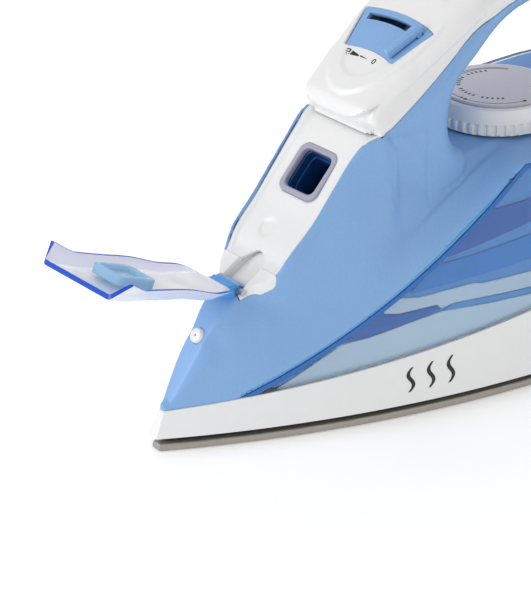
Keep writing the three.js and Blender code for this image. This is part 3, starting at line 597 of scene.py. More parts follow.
VOXEL = 0.8
FIRST_S, LAST_S = 2.7, 233.4  # ends of the body's loft
stations = np.concatenate([np.arange(FIRST_S, 100, VOXEL), np.arange(100, 180, 2 * VOXEL),
                           np.arange(180, LAST_S, VOXEL), [LAST_S]])
form = melted([loft([body_ring(s, 8) for s in stations]), handle_form()], VOXEL, 2)


# ---------- cutting the form into its pieces ----------
def region(outline):
    """A field that is negative inside a side-view outline of (s, z) points, in millimetres."""
    a = np.array(outline, float)
    b = np.roll(a, -1, axis=0)

    def field(points):
        p = points[:, 1:3]
        best = np.full(len(p), 1e9)
        inside = np.zeros(len(p), bool)
        for (a0, a1), (b0, b1) in zip(a, b):
            d0, d1 = b0 - a0, b1 - a1
            size = d0 * d0 + d1 * d1
            if size < 1e-9:
                continue
            t = np.clip(((p[:, 0] - a0) * d0 + (p[:, 1] - a1) * d1) / size, 0, 1)
            best = np.minimum(best, np.hypot(p[:, 0] - a0 - t * d0, p[:, 1] - a1 - t * d1))
            if a1 != b1:
                crossed = ((a1 > p[:, 1]) != (b1 > p[:, 1])) & (p[:, 0] < d0 * (p[:, 1] - a1) / d1 + a0)
                inside ^= crossed
        return np.where(inside, -best, best)

    return field


def outside(field):
    return lambda points: -field(points)


def both(*fields):
    return lambda points: np.max([f(points) for f in fields], axis=0)


def either(*fields):
    return lambda points: np.min([f(points) for f in fields], axis=0)


def bar(x_limit, low_s, high_s):
    """Negative within x_limit of the middle between two stations."""
    def field(points):
        wide = x_limit(points[:, 1]) if callable(x_limit) else x_limit
        return np.max([np.abs(points[:, 0]) - wide, low_s - points[:, 1], points[:, 1] - high_s], axis=0)
    return field


def round_hole(s, radius, low, high):
    """Negative inside an upright round hole on the middle line."""
    def field(points):
        return np.max([np.hypot(points[:, 0], points[:, 1] - s) - radius, low - points[:, 2],
                       points[:, 2] - high], axis=0)
    return field


def tilted(slope, s, z):
    """A field's points seen from a sloping plane: across, up the slope, and out of it."""
    c, n = cos(slope), sin(slope)

    def turn(points):
        ds, dz = points[:, 1] - s, points[:, 2] - z
        return points[:, 0], ds * c + dz * n, -ds * n + dz * c
    return turn


def on_slope(slope, s, z):
    """Row-frame placing of a piece drawn round the origin: x across, y up the slope, z out of it."""
    return Matrix.Translation(Vector(world((0, s, z)))) @ Matrix.Rotation(slope, 4, "X")


SEAM = 0.22  # half the gap between neighbouring pieces
parting_line = smooth_line(PARTING)
shoulder_line = [(s, shoulder_z(s)) for s in np.arange(SHOULDER_START, 150, 2.5)]
DECK_END = 188.0
TOWER_LINE = [(DECK_END, SHOULDER_Z), (206, 104), (214, 122)]
lower_parting = [(s, z - SEAM) for s, z in parting_line if s < 213.5]
shell_region = region([(-12, 5), (24, 5), *shoulder_line, *TOWER_LINE, (214, 141.6),
                       *reversed(lower_parting), (83.4, 104.6), (76.7, 100.5), (68, 93), (50, 77),
                       (34, 61), (19.5, 47), (-12, 30)])
cover_region = region([(60, 104.6), *[(s, z + SEAM) for s, z in parting_line],
                       (290, 113), (290, 175), (60, 175)])
rear_region = region([(225, -2), (257.6, 126), (290, 112), (290, -2)])
tank_region = region([(10, 0), *[(s, z - 2 * SEAM) for s, z in shoulder_line],
                      *[(s + 2 * SEAM, z - SEAM) for s, z in TOWER_LINE],
                      (214.4, 141.2), *[(s, z - SEAM) for s, z in parting_line if 215 < s < 256],
                      (257, 125.8), (224.4, -2)])
deck_zone = both(bar(lambda s: body_half_width(s, SHOULDER_Z) - 0.5, 138, DECK_END),
                 lambda p: np.abs(p[:, 2] - 90) - 8)
TANK_EDGE_SHADE_WIDTH = 2.3  # width of the tank's darker upper edge band: partly its thick edge, partly painted shade of the gap under the shell's edge
EDGE_LIGHT_WIDTH = 0.8  # width of the strip along the shell's lower edge, painted saturated blue as the light its rounded edge catches
above_skirt = lambda p: skirt_top(p[:, 1]) + 0.25 - p[:, 2]
side_wall = lambda p: body_half_width(p[:, 1], p[:, 2]) - 1.2 - np.abs(p[:, 0])


def edge_zone(low, high):
    """Negative on the sides in a strip along the shoulder, between two depths below it."""
    line = shoulder_line[1:]
    strip = region([*[(s, z - low) for s, z in line], *[(s, z - high) for s, z in reversed(line)]])
    return both(strip, side_wall)



COLLAR_TOP_S = 43.9
COLLAR_LOW_S = 32.6
BED_END = 89.6
BED_DEPTH = 4.0


def bed_width(s):
    return np.where(s < COLLAR_TOP_S, ridge_x(s) + 0.3, ridge_x(s) - 0.9)


bed = both(bar(bed_width, COLLAR_LOW_S, BED_END), lambda p: ridge_z(p[:, 1]) - BED_DEPTH - p[:, 2])


def nozzle_hole(points):
    across, up, _ = tilted(NOZZLE_SLOPE, NOZZLE_S, NOZZLE_Z)(points)
    return np.maximum(np.hypot(across, up) - 3.1, points[:, 1] - 30)


def oval(across, up, half, low, high):
    """Signed distance-like value of an egg-shaped outline round (0, 20): negative inside."""
    length = np.where(up < 20, low, high)
    r = np.hypot(across / half, (up - 20) / length)
    return (r - 1) * np.minimum(half, low) * 1.2


face_place = tilted(FACE_SLOPE, FACE_S, FACE_Z)
FOLD = [(93.6, 104), (93.6, 91.6), (92.4, 81.5), (87.6, 77.5), (83.5, 73.7), (76.5, 69.8), (70.4, 67.3)]
fold_distance = region(FOLD + FOLD[-2:0:-1])  # there and back, so that it has no inside
CREASE_END = 143.7
CREASE_X = 23.0
CREASE_Z = 85.7


def sculpted(points):
    """Softer hollows and folds that the bare form lacks."""
    p = points.copy()
    x, s, z = p.T
    side = np.sign(x)
    # hollows beside the spray nozzle and under the lid's hinge
    near = np.exp(-(((s - 22.5) / 4.5) ** 2 + ((z - 38.5) / 6.0) ** 2)) * smooth(np.abs(x), 1.0, 4.5)
    hinge = np.exp(-(((s - 40) / 7.0) ** 2 + ((z - 51) / 6.0) ** 2)) * smooth(np.abs(x), 4, 9)
    p[:, 0] = x - side * (1.3 * near + 1.5 * hinge)
    # soft fold where the front leg meets the shell's side
    fold = 2.0 * np.exp(-np.abs(fold_distance(p)) / 7.0) * smooth(np.abs(x), 12, 16) * smooth(z, 66, 80)
    p[:, 0] += side * fold * fade(z, 102, 106) * (s < 108)
    # crease that runs down from the deck in front of the dial
    behind = s - CREASE_END
    level = np.exp(-((z - CREASE_Z - 0.433 * behind) / 4.0) ** 2)
    crease = np.exp(-np.abs(np.abs(x) - CREASE_X + 0.097 * behind) / 2.5) * level
    crease *= smooth(s, 96, 110) * fade(s, 136, 144)
    p[:, 0] += 0.5 * side * crease
    p[:, 2] += 1.1 * crease
    # raised rim along the panel
    rim = 0.7 * np.exp(-((np.abs(x) - ridge_x(s) + 0.5) / 0.8) ** 2)
    rim *= fade(np.abs(z - ridge_z(s)), 1, 4) * smooth(s, 44, 48) * fade(s, 83, 87)
    p[:, 1] -= rim * sin(PANEL_SLOPE)
    p[:, 2] += rim * cos(PANEL_SLOPE)
    # slider face: a flat oval inside a rounded band
    across, up, out = face_place(p)
    inner = oval(across, up, 15.2, 29, 20)
    flat = fade(inner, -0.8, 0.5) * smooth(out, -4, -2)
    out = lerp(out, -0.45, flat)
    c, n = cos(FACE_SLOPE), sin(FACE_SLOPE)
    p[:, 1] = FACE_S + up * c - out * n
    p[:, 2] = FACE_Z + up * n + out * c
    return p


def normals(sheet):
    """Outward unit vectors at the points of a sheet of quads."""
    p, q = sheet.points, sheet.quads
    across = np.cross(p[q[:, 2]] - p[q[:, 0]], p[q[:, 3]] - p[q[:, 1]])
    total = np.zeros_like(p)
    for corner in range(4):
        for axis in range(3):
            total[:, axis] += np.bincount(q[:, corner], across[:, axis], len(p))
    return total / np.maximum(np.linalg.norm(total, axis=1), 1e-9)[:, None]


def terraced(sheet):
    """The two steps under the slider face, pressed in along the surface's normals."""
    x, s, z = sheet.points.T
    across, up, out = face_place(sheet.points)
    chin = fade(np.abs(x), 16, 20) * fade(s, 90, 96)
    near = np.maximum(smooth(out, -9, -4), chin) * fade(up, 10, 34) * (z > 103) * (out < 3)
    first = 1.1 * smooth(oval(across, up, 19.6, 36.3, 24), -0.4, 0.8) * near
    lip = 110 + 6 * (np.abs(x) / 18) ** 3
    second = (1.5 + 0.7 * smooth(np.abs(x), 12, 19)) * smooth(lip - z, -0.5, 0.7)
    second *= fade(s, 86, 92) * fade(np.abs(x), 18.2, 20.2) * smooth(z, 104.2, 105.4)
    depth = first + second
    return Sheet(sheet.points - normals(sheet) * depth[:, None], sheet.quads, sheet.polys)


form = terraced(form.moved(sculpted))
REACH = 41.0  # from the slider's swing axis up to the middle of its face


def window(points):
    """Negative in the slider window: a ring sector about the slider's swing axis."""
    across, up, out = face_place(points)
    reach = up + REACH
    r = np.hypot(across, reach)
    turn = np.abs(np.degrees(np.arctan2(across, reach)))
    return np.max([44.4 - r, r - 63.2, (turn - 17.2) * r * pi / 180, -4 - out], axis=0)


BUTTON_HOLES = [round_hole(139, 6.6, 142, 170), round_hole(154, 6.6, 144, 170)]
LAMP_HOLE = round_hole(222, 3.4, 140, 170)
DIAL_S, _ = joint_place("dial_turn")
gland_place = tilted(radians(12 - 90), *joint_place("gland_swivel"))


def gland_hole(points):
    across, up, out = gland_place(points)
    return np.maximum(np.hypot(across, up) - 8.4, -20 - out)


whole_shell = form.clip(both(either(shell_region, deck_zone), above_skirt))
for hole in (bed, nozzle_hole, round_hole(DIAL_S, 4.0, 80, 95)):
    whole_shell = whole_shell.clip(outside(hole))
# strip of painted edge light along the shell's lower edge
shell_edge_light_zone = edge_zone(-EDGE_LIGHT_WIDTH, 0)
shell = whole_shell.clip(outside(shell_edge_light_zone))
collars = form.clip(both(shell_region, bed, bar(60, COLLAR_LOW_S + 0.3, COLLAR_TOP_S - 0.06)))
whole_tank = form.clip(both(tank_region, above_skirt)).clip(outside(deck_zone))
# strip of painted shade below the shoulder, partly the tank's thick edge
tank_edge_shade_zone = edge_zone(2 * SEAM, TANK_EDGE_SHADE_WIDTH)
tank = whole_tank.clip(outside(tank_edge_shade_zone))
cover = form.clip(cover_region).clip(outside(window))
for hole in (*BUTTON_HOLES, LAMP_HOLE, gland_hole):
    cover = cover.clip(outside(hole))
heel = form.clip(both(rear_region, above_skirt)).clip(outside(gland_hole))

ridden(thicken(build("front_shell_skin", shell, SKY), WALL), "sky_plastic", "front_shell")
ridden(thicken(build("water_tank_skin", tank, TANK), WALL), "tank_plastic", "water_tank")
ridden(thicken(build("shell_edge_rim", whole_shell.clip(shell_edge_light_zone), EDGE_LIGHT_BLUE), WALL), "sky_plastic")
ridden(thicken(build("tank_edge_band", whole_tank.clip(tank_edge_shade_zone), EDGE_SHADE_BLUE), WALL), "tank_plastic")

# ---------- walls inside the tank, with painted light and shade in some of their colours ---
LINER_WALL = 0.4
INNER_IN = 3.5  # depth of the inner wall under the tank's skin
BAFFLE_IN = 2.9  # depth of the baffles
LINERS = {
    # white and pale liners: painted light for the tank's pale highlight bands
    "tank_mist_baffle": (MIST_LIGHT_LINER, [
        (40, 17), (66, 31.5), (76, 32.2), (90, 34.8), (104, 37), (125, 36), (215, 33.5), (215, 15),
        (60, 15)]),
    "tank_pale_baffle": (PALE_LIGHT_LINER, [
        (81, 40.7), (87.4, 39.4), (102.4, 39.9), (104.5, 38.2), (109.2, 39.3), (140, 38.4), (215, 36),
        (215, 43), (140, 44.3), (121, 44.3), (118, 45.2), (96, 44.1), (87.4, 45.2), (85, 44)]),
    # navy liners: painted shade for the tank's dark bands
    "tank_dark_baffle": (NAVY_SHADE_LINER, [
        (80.5, 40.3), (87.4, 39.1), (102.4, 39.6), (104.2, 38), (90, 35.2), (76, 32.6), (66.5, 32)]),
    "tank_low_baffle": (INNER, [
        (104.5, 36.8), (109.2, 39.1), (140, 38.1), (215, 35.6), (215, 34), (139.8, 36)]),
    "tank_high_baffle": (NAVY_SHADE_LINER, [
        (105.9, 56.5), (141.7, 62.7), (190, 70), (190, 78), (142.5, 71.7), (126.6, 70.9), (113.9, 63.7)]),
    "tank_blue_baffle": (BLUE_LINER, [
        (92, 46), (106, 46.9), (140.6, 49.1), (205, 52), (205, 60), (141, 58.2), (117, 55.7), (104, 55)]),
}
off_middle = lambda p: 9 - np.abs(p[:, 0])


def inset(sheet, depth):
    """A sheet's two sides, moved towards the middle."""
    return sheet.moved(lambda p: p - np.sign(p[:, :1]) * np.array([[depth, 0, 0]]))


inner_wall = build("tank_inner_wall", inset(tank.clip(off_middle), INNER_IN), INNER)
ridden(thicken(inner_wall, LINER_WALL), "tank_plastic")
for name, (look, outline) in LINERS.items():
    strip = form.clip(both(region(outline), tank_region, off_middle))
    ridden(thicken(build(name, inset(strip, BAFFLE_IN), look), LINER_WALL), "tank_plastic")
ridden(thicken(build("handle_cover_skin", cover, WHITE), WALL), "white_plastic", "handle_cover")
ridden(thicken(build("rear_cover_skin", heel, WHITE), WALL), "white_plastic", "rear_cover")


# ---------- fill panel ----------
def over_panel(x, s, n):
    """A point above the panel's rim line: x across, n out of the panel."""
    return np.array([x, s - n * sin(PANEL_SLOPE), ridge_z(s) + n * cos(PANEL_SLOPE)])


def rounded_box(x, y, half_w, half_l, r):
    """Signed distance to a rounded rectangle."""
    dx, dy = np.abs(x) - half_w + r, np.abs(y) - half_l + r
    return np.hypot(np.maximum(dx, 0), np.maximum(dy, 0)) + np.minimum(np.maximum(dx, dy), 0) - r


PANEL_EDGE = 1.1  # the panel's edge lies inside the ridge line by this much
NOTCH_HALF = 6.4  # half-width of the finger notch between the hinge collars
NOTCH_TOP_S = 48.6
NOTCH_RISE = 8  # height of the arch at its top
NOTCH_DEPTH = 5.2


def panel_height(x, s):
    """The panel's surface over its rim line: sunk inside the rim, with a shallow round dimple."""
    edge = ridge_x(s) - PANEL_EDGE - abs(x)
    slope = 2.8 + 1.4 * smooth(s, 60, 80)
    n = -0.5 - 1.1 * smooth(edge, 0.7, slope) * smooth(s, 43.5, 47)
    dimple = hypot(x + 3.2, (s - 53.5) * 1.42)
    return n - 0.7 * fade(dimple, 3.0, 4.3)


fill_place = tilted(PANEL_SLOPE, FILL_S, FILL_Z)


def fill_hole(grow):
    def field(points):
        across, up, out = fill_place(points)
        return rounded_box(across, up, FILL_HALF_W + grow, FILL_HALF_L + grow, 3 + grow / 2)
    return field


def notch(points):
    length = np.maximum(points[:, 1] - (NOTCH_TOP_S - NOTCH_RISE), 0) / NOTCH_RISE
    return np.maximum(np.hypot(points[:, 0] / NOTCH_HALF, length) - 1, points[:, 1] - 55) * NOTCH_HALF


def on_panel(s, u):
    x = u * (ridge_x(s) - PANEL_EDGE)
    return over_panel(x, s, panel_height(x, s))


panel = grid(np.arange(39.8, 88.4, 0.6), np.linspace(-1, 1, 81), on_panel)
for cut in (outside(fill_hole(2.3)), outside(notch), lambda p: COLLAR_TOP_S + 0.06 - p[:, 1]):
    panel = panel.clip(cut)
ridden(thicken(build("fill_panel_plate", panel, WHITE), 1.6, 1.0), "white_plastic", "fill_panel")
ridden(thicken(build("hinge_collars", collars.clip(outside(notch)), WHITE), 3.0), "white_plastic")


def notch_side(u, n):
    """The notch's wall, n from its top to its foot: u runs from one leg round the arch to the other."""
    angle = u * pi / 2
    if abs(u) < 1:
        reach, width = NOTCH_RISE * cos(angle), sin(angle)
    else:
        reach, width = -6 * (abs(u) - 1), copysign(1, u)
    reach += NOTCH_TOP_S - NOTCH_RISE
    width *= NOTCH_HALF - 0.12
    top = panel_height(width, reach) - 0.1 if reach > COLLAR_TOP_S else -0.5
    return over_panel(width, reach, lerp(top, -NOTCH_DEPTH, n))


wall = grid(np.linspace(-2.2, 2.2, 80), np.linspace(0, 1, 5), notch_side)
ridden(thicken(build("notch_wall", wall, WHITE), 0.8, 1.0), "white_plastic")
recess = grid(np.linspace(-7, 7, 12), np.linspace(30, 51, 16), lambda x, s: over_panel(x, s, -5))
ridden(thicken(build("notch_floor", recess, WHITE), 0.8, 1.0), "white_plastic")


# ---------- flat and turned pieces ----------
def placed(name, mesh, bm, material, matrix, angle):
    """An object from a bmesh, moved by a matrix, with sharp edges above the angle."""
    bmesh.ops.recalc_face_normals(bm, faces=bm.faces)
    bm.to_mesh(mesh)
    bm.free()
    mesh.transform(matrix)
    mesh.name = name
    mesh.shade_smooth()
    mesh.set_sharp_from_angle(angle=radians(angle))
    mesh.materials.clear()
    mesh.materials.append(material)
    return linked(name, mesh)


def flat_piece(name, loops, low, high, bevel, material, matrix):
    """A plate from closed loops of (x, y) millimetres, holes included, between two heights."""
    data = bpy.data.curves.new(name, "CURVE")
    data.dimensions = "2D"
    data.fill_mode = "BOTH"
    data.extrude = max((high - low) / 2 - bevel, 0) * MM
    data.bevel_depth = bevel * MM
    data.bevel_resolution = 2
    data.offset = -bevel * MM
    for loop in loops:
        line = data.splines.new("POLY")
        line.points.add(len(loop) - 1)
        for point, (x, y) in zip(line.points, loop):
            point.co = (x * MM, y * MM, 0, 1)
        line.use_cyclic_u = True
    rough = linked(name + "_line", data)
    graph = bpy.context.evaluated_depsgraph_get()
    mesh = bpy.data.meshes.new_from_object(rough.evaluated_get(graph))
    bpy.data.objects.remove(rough)
    bm = bmesh.new()
    bm.from_mesh(mesh)
    bmesh.ops.remove_doubles(bm, verts=bm.verts, dist=0.01 * MM)
    lift = Matrix.Translation((0, 0, (low + high) / 2 * MM))
    return placed(name, mesh, bm, material, matrix @ lift, 30)


def turned(name, profile, count, material, matrix, ribs=None):
    """A turned piece from an (r, z) profile in millimetres; ribs(angle, r, z) may change the radius."""
    bm = bmesh.new()
    rings = []
    for r, z in profile:
        if r < 1e-6:
            rings.append([bm.verts.new((0, 0, z * MM))])
            continue
        ring = []
        for k in range(count):
            angle = 2 * pi * k / count
            radius = ribs(angle, r, z) if ribs else r
            spot = (radius * cos(angle), radius * sin(angle), z)
            ring.append(bm.verts.new([v * MM for v in spot]))
        rings.append(ring)
    for a, b in zip(rings, rings[1:]):
        for k in range(count):
            l = (k + 1) % count
            if len(a) == 1:
                bm.faces.new((a[0], b[l], b[k]))
            elif len(b) == 1:
                bm.faces.new((a[k], a[l], b[0]))
            else:
                bm.faces.new((a[k], a[l], b[l], b[k]))
    return placed(name, bpy.data.meshes.new(name), bm, material, matrix, 32)


def circle(x, y, r, count=28):
    angles = [2 * pi * k / count for k in range(count)]
    return [(x + r * cos(a), y + r * sin(a)) for a in angles]


def rounded_loop(half_w, half_l, r, count=8):
    loop = []
    for cx, cy, start in ((1, 1, 0), (-1, 1, 90), (-1, -1, 180), (1, -1, 270)):
        for k in range(count + 1):
            a = radians(start + 90 * k / count)
            loop.append((cx * (half_w - r) + r * cos(a), cy * (half_l - r) + r * sin(a)))
    return loop


def outline_stations(out, sides=120, rear=30):
    """Stations along one side of the footprint moved outwards by out, closer together at the heel."""
    front = [lerp(nose_station(out), WIDEST_S, i / sides) for i in range(sides + 1)]
    depth = SOLE_LENGTH + out - WIDEST_S
    turns = [i / rear * (pi / 2 - 0.16) for i in range(1, rear + 1)]
    return front + [WIDEST_S + depth * sin(a) for a in turns]


# soleplate with its rounded edge and steam holes
right = [(half_width(s), s + NOSE_Y) for s in outline_stations(0)]
holes = [(side * (half_width(s) - 8), s) for s in range(30, 99, 17) for side in (1, -1)]
holes += [(0, 22), (0, 41)]
sole_loops = [right + [(-x, y) for x, y in reversed(right)]]
sole_loops += [circle(x, s + NOSE_Y, 1.7) for x, s in holes]
soleplate = flat_piece("soleplate_plate", sole_loops, 0, 3, 0.9, TAUPE, Matrix.Identity(4))
ridden(soleplate, "sole_metal", "soleplate")


# skirt
def skirt_curve(out, at_top):
    """A line round the skirt, at its upper edge or at its foot."""
    pts = []
    for s in outline_stations(out):
        z = skirt_top(s) if at_top else SKIRT_BOTTOM
        pts.append((half_width(s, out), leaning(s, z), z))
    return np.array(pts + [(-x, s, z) for x, s, z in reversed(pts)])


skirt_rows = [skirt_curve(SKIRT_OUT, False), skirt_curve(BODY_IN, True),
              skirt_curve(BODY_IN - 2.2, True), skirt_curve(SKIRT_OUT - 2.4, False)]
steps = 6
skirt_rings = [lerp(a, b, k / steps) for a, b in zip(skirt_rows, skirt_rows[1:] + skirt_rows[:1])
               for k in range(steps)]
skirt_quads = ring_quads(len(skirt_rings), len(skirt_rings[0]), wrap=True)
skirt = build("skirt_band", Sheet(np.vstack(skirt_rings), skirt_quads), WHITE)
ridden(soften(skirt, 0.45), "white_plastic", "skirt")

# gasket round the fill opening, and the neck and throat below it, painted near-black blue as the shade
# inside the opening
on_fill = on_slope(PANEL_SLOPE, FILL_S, FILL_Z)
gasket_loops = [rounded_loop(10, 10.1, 3.8), rounded_loop(FILL_HALF_W, FILL_HALF_L, 2.8)]
neck_loops = [rounded_loop(9, 9.1, 3.4), rounded_loop(7.4, 7.5, 2.4)]
throat_loops = [rounded_loop(8.6, 8.7, 3.0), rounded_loop(6.6, 6.7, 2.0)]
gasket = flat_piece("fill_gasket_ring", gasket_loops, -3.4, -0.8, 0.6, RUBBER, on_fill)
ridden(gasket, "grey_rubber", "fill_gasket")
ridden(flat_piece("fill_neck", neck_loops, -6.5, -3.45, 0.3, DEEP_SHADE, on_fill), "tank_plastic")
ridden(flat_piece("fill_throat", throat_loops, -18, -6.55, 0.2, DEEP_SHADE, on_fill), "tank_plastic")

# spray nozzle
NOZZLE_PROFILE = [(0.35, -1), (0.35, 1.1), (0.6, 1.45), (1.6, 1.5), (2.4, 1.25), (2.8, 0.7), (2.9, 0.1),
                  (2.9, -5.5), (0.35, -5.5)]
on_nozzle = on_slope(NOZZLE_SLOPE, NOZZLE_S, NOZZLE_Z)
nozzle = turned("spray_nozzle_cap", NOZZLE_PROFILE, 48, WHITE, on_nozzle)
ridden(nozzle, "white_plastic", "spray_nozzle")

# dial
TEETH = 45
on_dial = Matrix.Translation(Vector(world((0, DIAL_S, 0))))


def knurl(angle, r, z):
    """The grooves between the teeth of the dial's lower rim."""
    if not 88.8 < z < 92.9 or r < 24:
        return r
    wave = 0.5 + 0.5 * cos(TEETH * angle)
    return r - 0.95 * fade(wave, 0.25, 0.7)


DIAL_PROFILE = [(2.4, 89), (24.0, 89), (24.6, 88.8), (25.1, 89.3), (25.1, 92.2), (24.6, 92.7), (24.3, 93),
                (24.3, 94.2), (23.9, 97.2), (23.5, 98.4), (22.6, 98.9), (21.7, 98.8), (21.5, 98.2),
                (2.4, 98.2), (2.4, 89)]
CAP_TOP = 99.6
CAP_PROFILE = [(0, CAP_TOP), (20.6, CAP_TOP), (21.2, 99.0), (21.2, 98.5), (0, 98.5)]
dial = turned("dial_knob", DIAL_PROFILE, TEETH * 12, WHITE, on_dial, knurl)
ridden(dial, "white_plastic", "dial", body="dial")

# dial cap with generic marks
dial_top = turned("dial_top", CAP_PROFILE, 120, LAVENDER, on_dial)
ridden(dial_top, "grey_rubber", "dial_cap", body="dial")


def arc_loop(inner, outer, start, end, count=40, centre=(0, 0)):
    """A ring sector's outline between two compass angles, in degrees from +y towards +x."""
    angles = np.radians(np.linspace(start, end, count))
    arc = lambda r, turns: [(centre[0] + r * sin(a), centre[1] + r * cos(a)) for a in turns]
    return arc(outer, angles) + arc(inner, reversed(angles))


LINE = 0.25  # width of the printed lines
marks = [arc_loop(r, r + LINE, start, end)
         for r, start, end in ((18.7, 100, 168), (18.7, 178, 216), (16.9, 200, 330), (15.9, 214, 330))]
for angle in (98, 170, 176, 218):
    a = radians(angle)
    marks.append(circle(18.8 * sin(a), 18.8 * cos(a), 0.75, 20))
for angle in range(112, 300, 8):
    if angle % 48 != 16:
        marks.append(arc_loop(13.2, 14.6, angle, angle + 3.2, 4))
dial_marks = flat_piece("dial_marks", marks, CAP_TOP, CAP_TOP + 0.06, 0, BLACK, on_dial)
ridden(dial_marks, "black_plastic", body="dial")

# slider window: plate, tab with its stem and foot, and generic marks
REST_ANGLE = 12.0
TAB_HALF = 1.7  # half of the tab's width, in degrees about the swing axis
on_face = on_slope(FACE_SLOPE, FACE_S, FACE_Z)
pivot = (0, -REACH)
plate_loops = [arc_loop(44.6, 63, -16.5, 16.5, centre=pivot),
               arc_loop(57.5, 60.5, -13.9, 13.9, centre=pivot)]
plate = flat_piece("slider_window_plate", plate_loops, -2.4, -0.4, 0.3, SKY, on_face)
ridden(plate, "sky_plastic", "slider_plate")


def slider_part(name, inner, outer, half, low, high, bevel):
    loop = arc_loop(inner, outer, REST_ANGLE - half, REST_ANGLE + half, 8, pivot)
    return flat_piece(name, [loop], low, high, bevel, SKY, on_face)


ridden(slider_part("slider_stem", 57.9, 60.1, TAB_HALF, -5.2, 0.2, 0.1), "sky_plastic", body="slider")
ridden(slider_part("slider_foot", 54.5, 61.7, TAB_HALF + 1, -6.4, -4.4, 0.2), "sky_plastic", body="slider")
tab = slider_part("slider_tab", 45.5, 61, TAB_HALF, -0.05, 3.4, 0.7)
ridden(tab, "sky_plastic", "steam_slider", body="slider")
full_turn = np.linspace(0, 2 * pi, 24, endpoint=False)
zero = [[(4.6 + w * cos(a), -0.1 + h * sin(a)) for a in full_turn]
        for w, h in ((0.75, 1.15), (0.45, 0.85))]
wedges = [[(-7.4, -1.3), (-3.4, -0.65), (-3.4, -0.05), (-7.4, 0.6)],
          [(-2.6, -0.45), (1.2, -0.28), (-2.6, 0.1)]]
iron_sign = [[(-11, -0.6), (-8.1, -0.6), (-8.4, 0.9), (-10.1, 0.9)],
             [(-10.5, -0.3), (-8.7, -0.3), (-8.8, 0.5), (-9.9, 0.5)]]
steam_dots = [circle(-10.9 + 0.7 * k, -1.2 - 0.5 * (k % 2), 0.2, 10) for k in range(5)]
level_marks = zero + wedges + iron_sign + steam_dots
ridden(flat_piece("face_marks", level_marks, -0.44, -0.3, 0, BLACK, on_face), "black_plastic")


# generic steam mark on the skirt's side
def on_skirt(s, part):
    """A point just off the skirt's side, part of the way up from its foot to its top."""
    x = lerp(half_width(s, SKIRT_OUT), half_width(s, BODY_IN), part) + 0.05
    z = lerp(SKIRT_BOTTOM, skirt_top(s), part)
    return x, leaning(s, z), z


def steam_wave(middle):
    def place(u, v):
        sway = 2.4 * u + 1.3 * sin(2 * pi * u)
        return on_skirt(middle + sway + v * (1 - 0.5 * abs(2 * u - 1)), 0.26 + 0.5 * u)
    return grid(np.linspace(0, 1, 24), (-0.9, 0.9), place)


waves = steam_wave(87).joined(steam_wave(95)).joined(steam_wave(103))
ridden(thicken(build("steam_mark", waves, BLACK), 0.08), "black_plastic")


# ---------- lid ----------
def swung(points):
    """From the closed to the open lid."""
    p = np.asarray(points, float)
    ds, dz = p[..., 1] - HINGE_S, p[..., 2] - HINGE_Z
    c, n = cos(LID_OPEN), sin(LID_OPEN)
    return np.stack([p[..., 0], HINGE_S + ds * c - dz * n, HINGE_Z + ds * n + dz * c], axis=-1)


def rounded_path(points, radii, count=4):
    """A closed path whose corners are replaced by small arcs."""
    pts = np.array(points, float)
    out = []
    for i, radius in enumerate(radii):
        a, b, c = pts[i - 1], pts[i], pts[(i + 1) % len(pts)]
        start = b + (a - b) * min(0.45, radius / np.linalg.norm(a - b))
        end = b + (c - b) * min(0.45, radius / np.linalg.norm(c - b))
        for t in np.linspace(0, 1, count + 1):
            out.append((1 - t) ** 2 * start + 2 * t * (1 - t) * b + t * t * end)
    return np.array(out)


# Rings of the closed lid: [station of its edge, half-width, height of its top, lead of the top].
LID_RINGS = [[39.5, 9.6, 2.6, 0], [43.7, 14.6, 4, 0], [47, 16.6, 4.8, 0], [51, 17.6, 5.4, 0.3],
             [60, 18.6, 6.5, 1.5], [68, 19.6, 6.9, 3], [75, 21.4, 7.2, 3.8], [80.8, 23.9, 7.4, 4.2]]
LID_WALL = 1.9
lid_x, lid_high, lid_lead = (spline([(r[0], r[k]) for r in LID_RINGS]) for k in (1, 2, 3))


def lid_ring(s):
    x, high, lead = lid_x(s), lid_high(s), lid_lead(s)
    flank = min(5.0, x / 3)
    edge = lerp(0.9, -1.2, smooth(s, 74, 81))
    top, under = s + lead, high - LID_WALL
    corners = [over_panel(x, s, edge), over_panel(x - flank, top, high), over_panel(flank - x, top, high),
               over_panel(-x, s, edge), over_panel(2 - x, s, edge), over_panel(flank + 0.4 - x, top, under),
               over_panel(x - flank - 0.4, top, under), over_panel(x - 2, s, edge)]
    return rounded_path(corners, (0.7, 1.3, 1.3, 0.7, 0.7, 1.0, 1.0, 0.7))


rings = [lid_ring(s) for s in np.linspace(LID_RINGS[0][0], LID_RINGS[-1][0], 60)]
count = len(rings[0])
lid_quads = ring_quads(len(rings), count)
for start in (0, (len(rings) - 1) * count):
    last = start + count - 1
    ends = [(start + i, start + i + 1, last - 1 - i, last - i) for i in range(count // 2 - 1)]
    lid_quads += ends if start == 0 else [tuple(reversed(q)) for q in ends]
lid = build("fill_lid_cover", Sheet(swung(np.vstack(rings)), lid_quads), CLEAR, 50, 0)
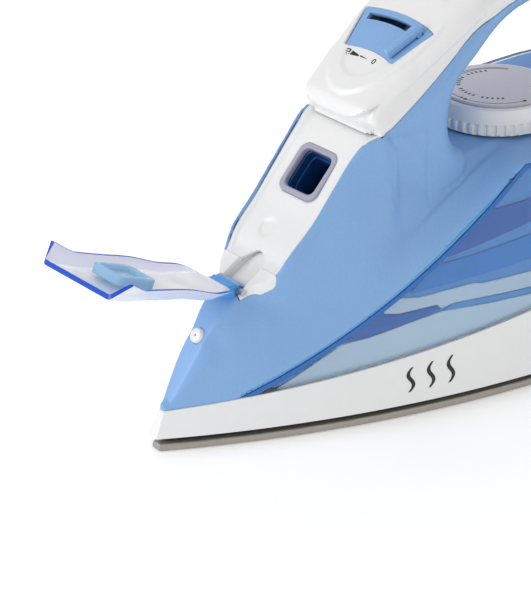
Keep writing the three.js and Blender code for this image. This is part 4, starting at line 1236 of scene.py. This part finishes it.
# the lid's lips and ends get the painted light of its edges
lid.data.materials.append(LID_EDGE_LIGHT)
painted_light_lips = {0, 1, 2, *range(18, 23), count - 3, count - 2, count - 1}
for polygon, quad in zip(lid.data.polygons, lid_quads):
    at_end = len({i // count for i in quad}) == 1
    polygon.material_index = int(at_end or painted_light_lips.issuperset(i % count for i in quad))
ridden(lid, "tank_plastic", "fill_lid", body="lid")

# plug under the lid
to_hinge = Matrix.Translation(Vector(world((0, HINGE_S, HINGE_Z))))
swing = to_hinge @ Matrix.Rotation(LID_OPEN, 4, "X") @ to_hinge.inverted()
plug_loops = [rounded_loop(8.7, 8.8, 3.4), rounded_loop(6.7, 6.8, 2.2)]
roof_loops = [rounded_loop(6.65, 6.75, 2.1)]
plug = flat_piece("lid_plug_box", plug_loops, 0.6, 4.3, 0.5, PLUG, swing @ on_fill)
ridden(plug, "tank_plastic", "lid_plug", body="lid")
plug_roof = flat_piece("lid_plug_roof", roof_loops, 2.2, 3.2, 0.2, PLUG, swing @ on_fill)
ridden(plug_roof, "tank_plastic", body="lid")

# arm and barrel of the lid's hinge
ARM_HALF = 5.9
ARM_ROUND = 2.6
BARREL_PROFILE = [(0, -ARM_HALF), (2.4, -ARM_HALF), (2.8, -5.5), (2.8, 5.5), (2.4, ARM_HALF), (0, ARM_HALF)]
arm_loop = [(HINGE_S + ARM_ROUND * cos(a), HINGE_Z + ARM_ROUND * sin(a))
            for a in np.radians(np.linspace(150, 340, 16))]
arm_loop += [(38.4, 58.6), (41, 62.2), (38, 64.6), (34, 60.4)]
sideways = Matrix(((0, 0, 1, 0), (1, 0, 0, NOSE_Y * MM), (0, 1, 0, 0), (0, 0, 0, 1)))
arm = flat_piece("lid_arm", [arm_loop], -ARM_HALF, ARM_HALF, 0.6, BLUE_LINER, swing @ sideways)
ridden(arm, "tank_plastic", body="lid")
barrel = turned("lid_barrel", BARREL_PROFILE, 48, PLUG, to_hinge @ Matrix.Rotation(pi / 2, 4, "Y"))
ridden(barrel, "tank_plastic", body="lid")

# ---------- small pieces ----------
for node in ("spray_button", "burst_button", "lamp_lens", "cord_gland", "heel_pad_left", "heel_pad_right",
             "heat_shield"):
    soften(bpy.data.objects[node], 0.35)
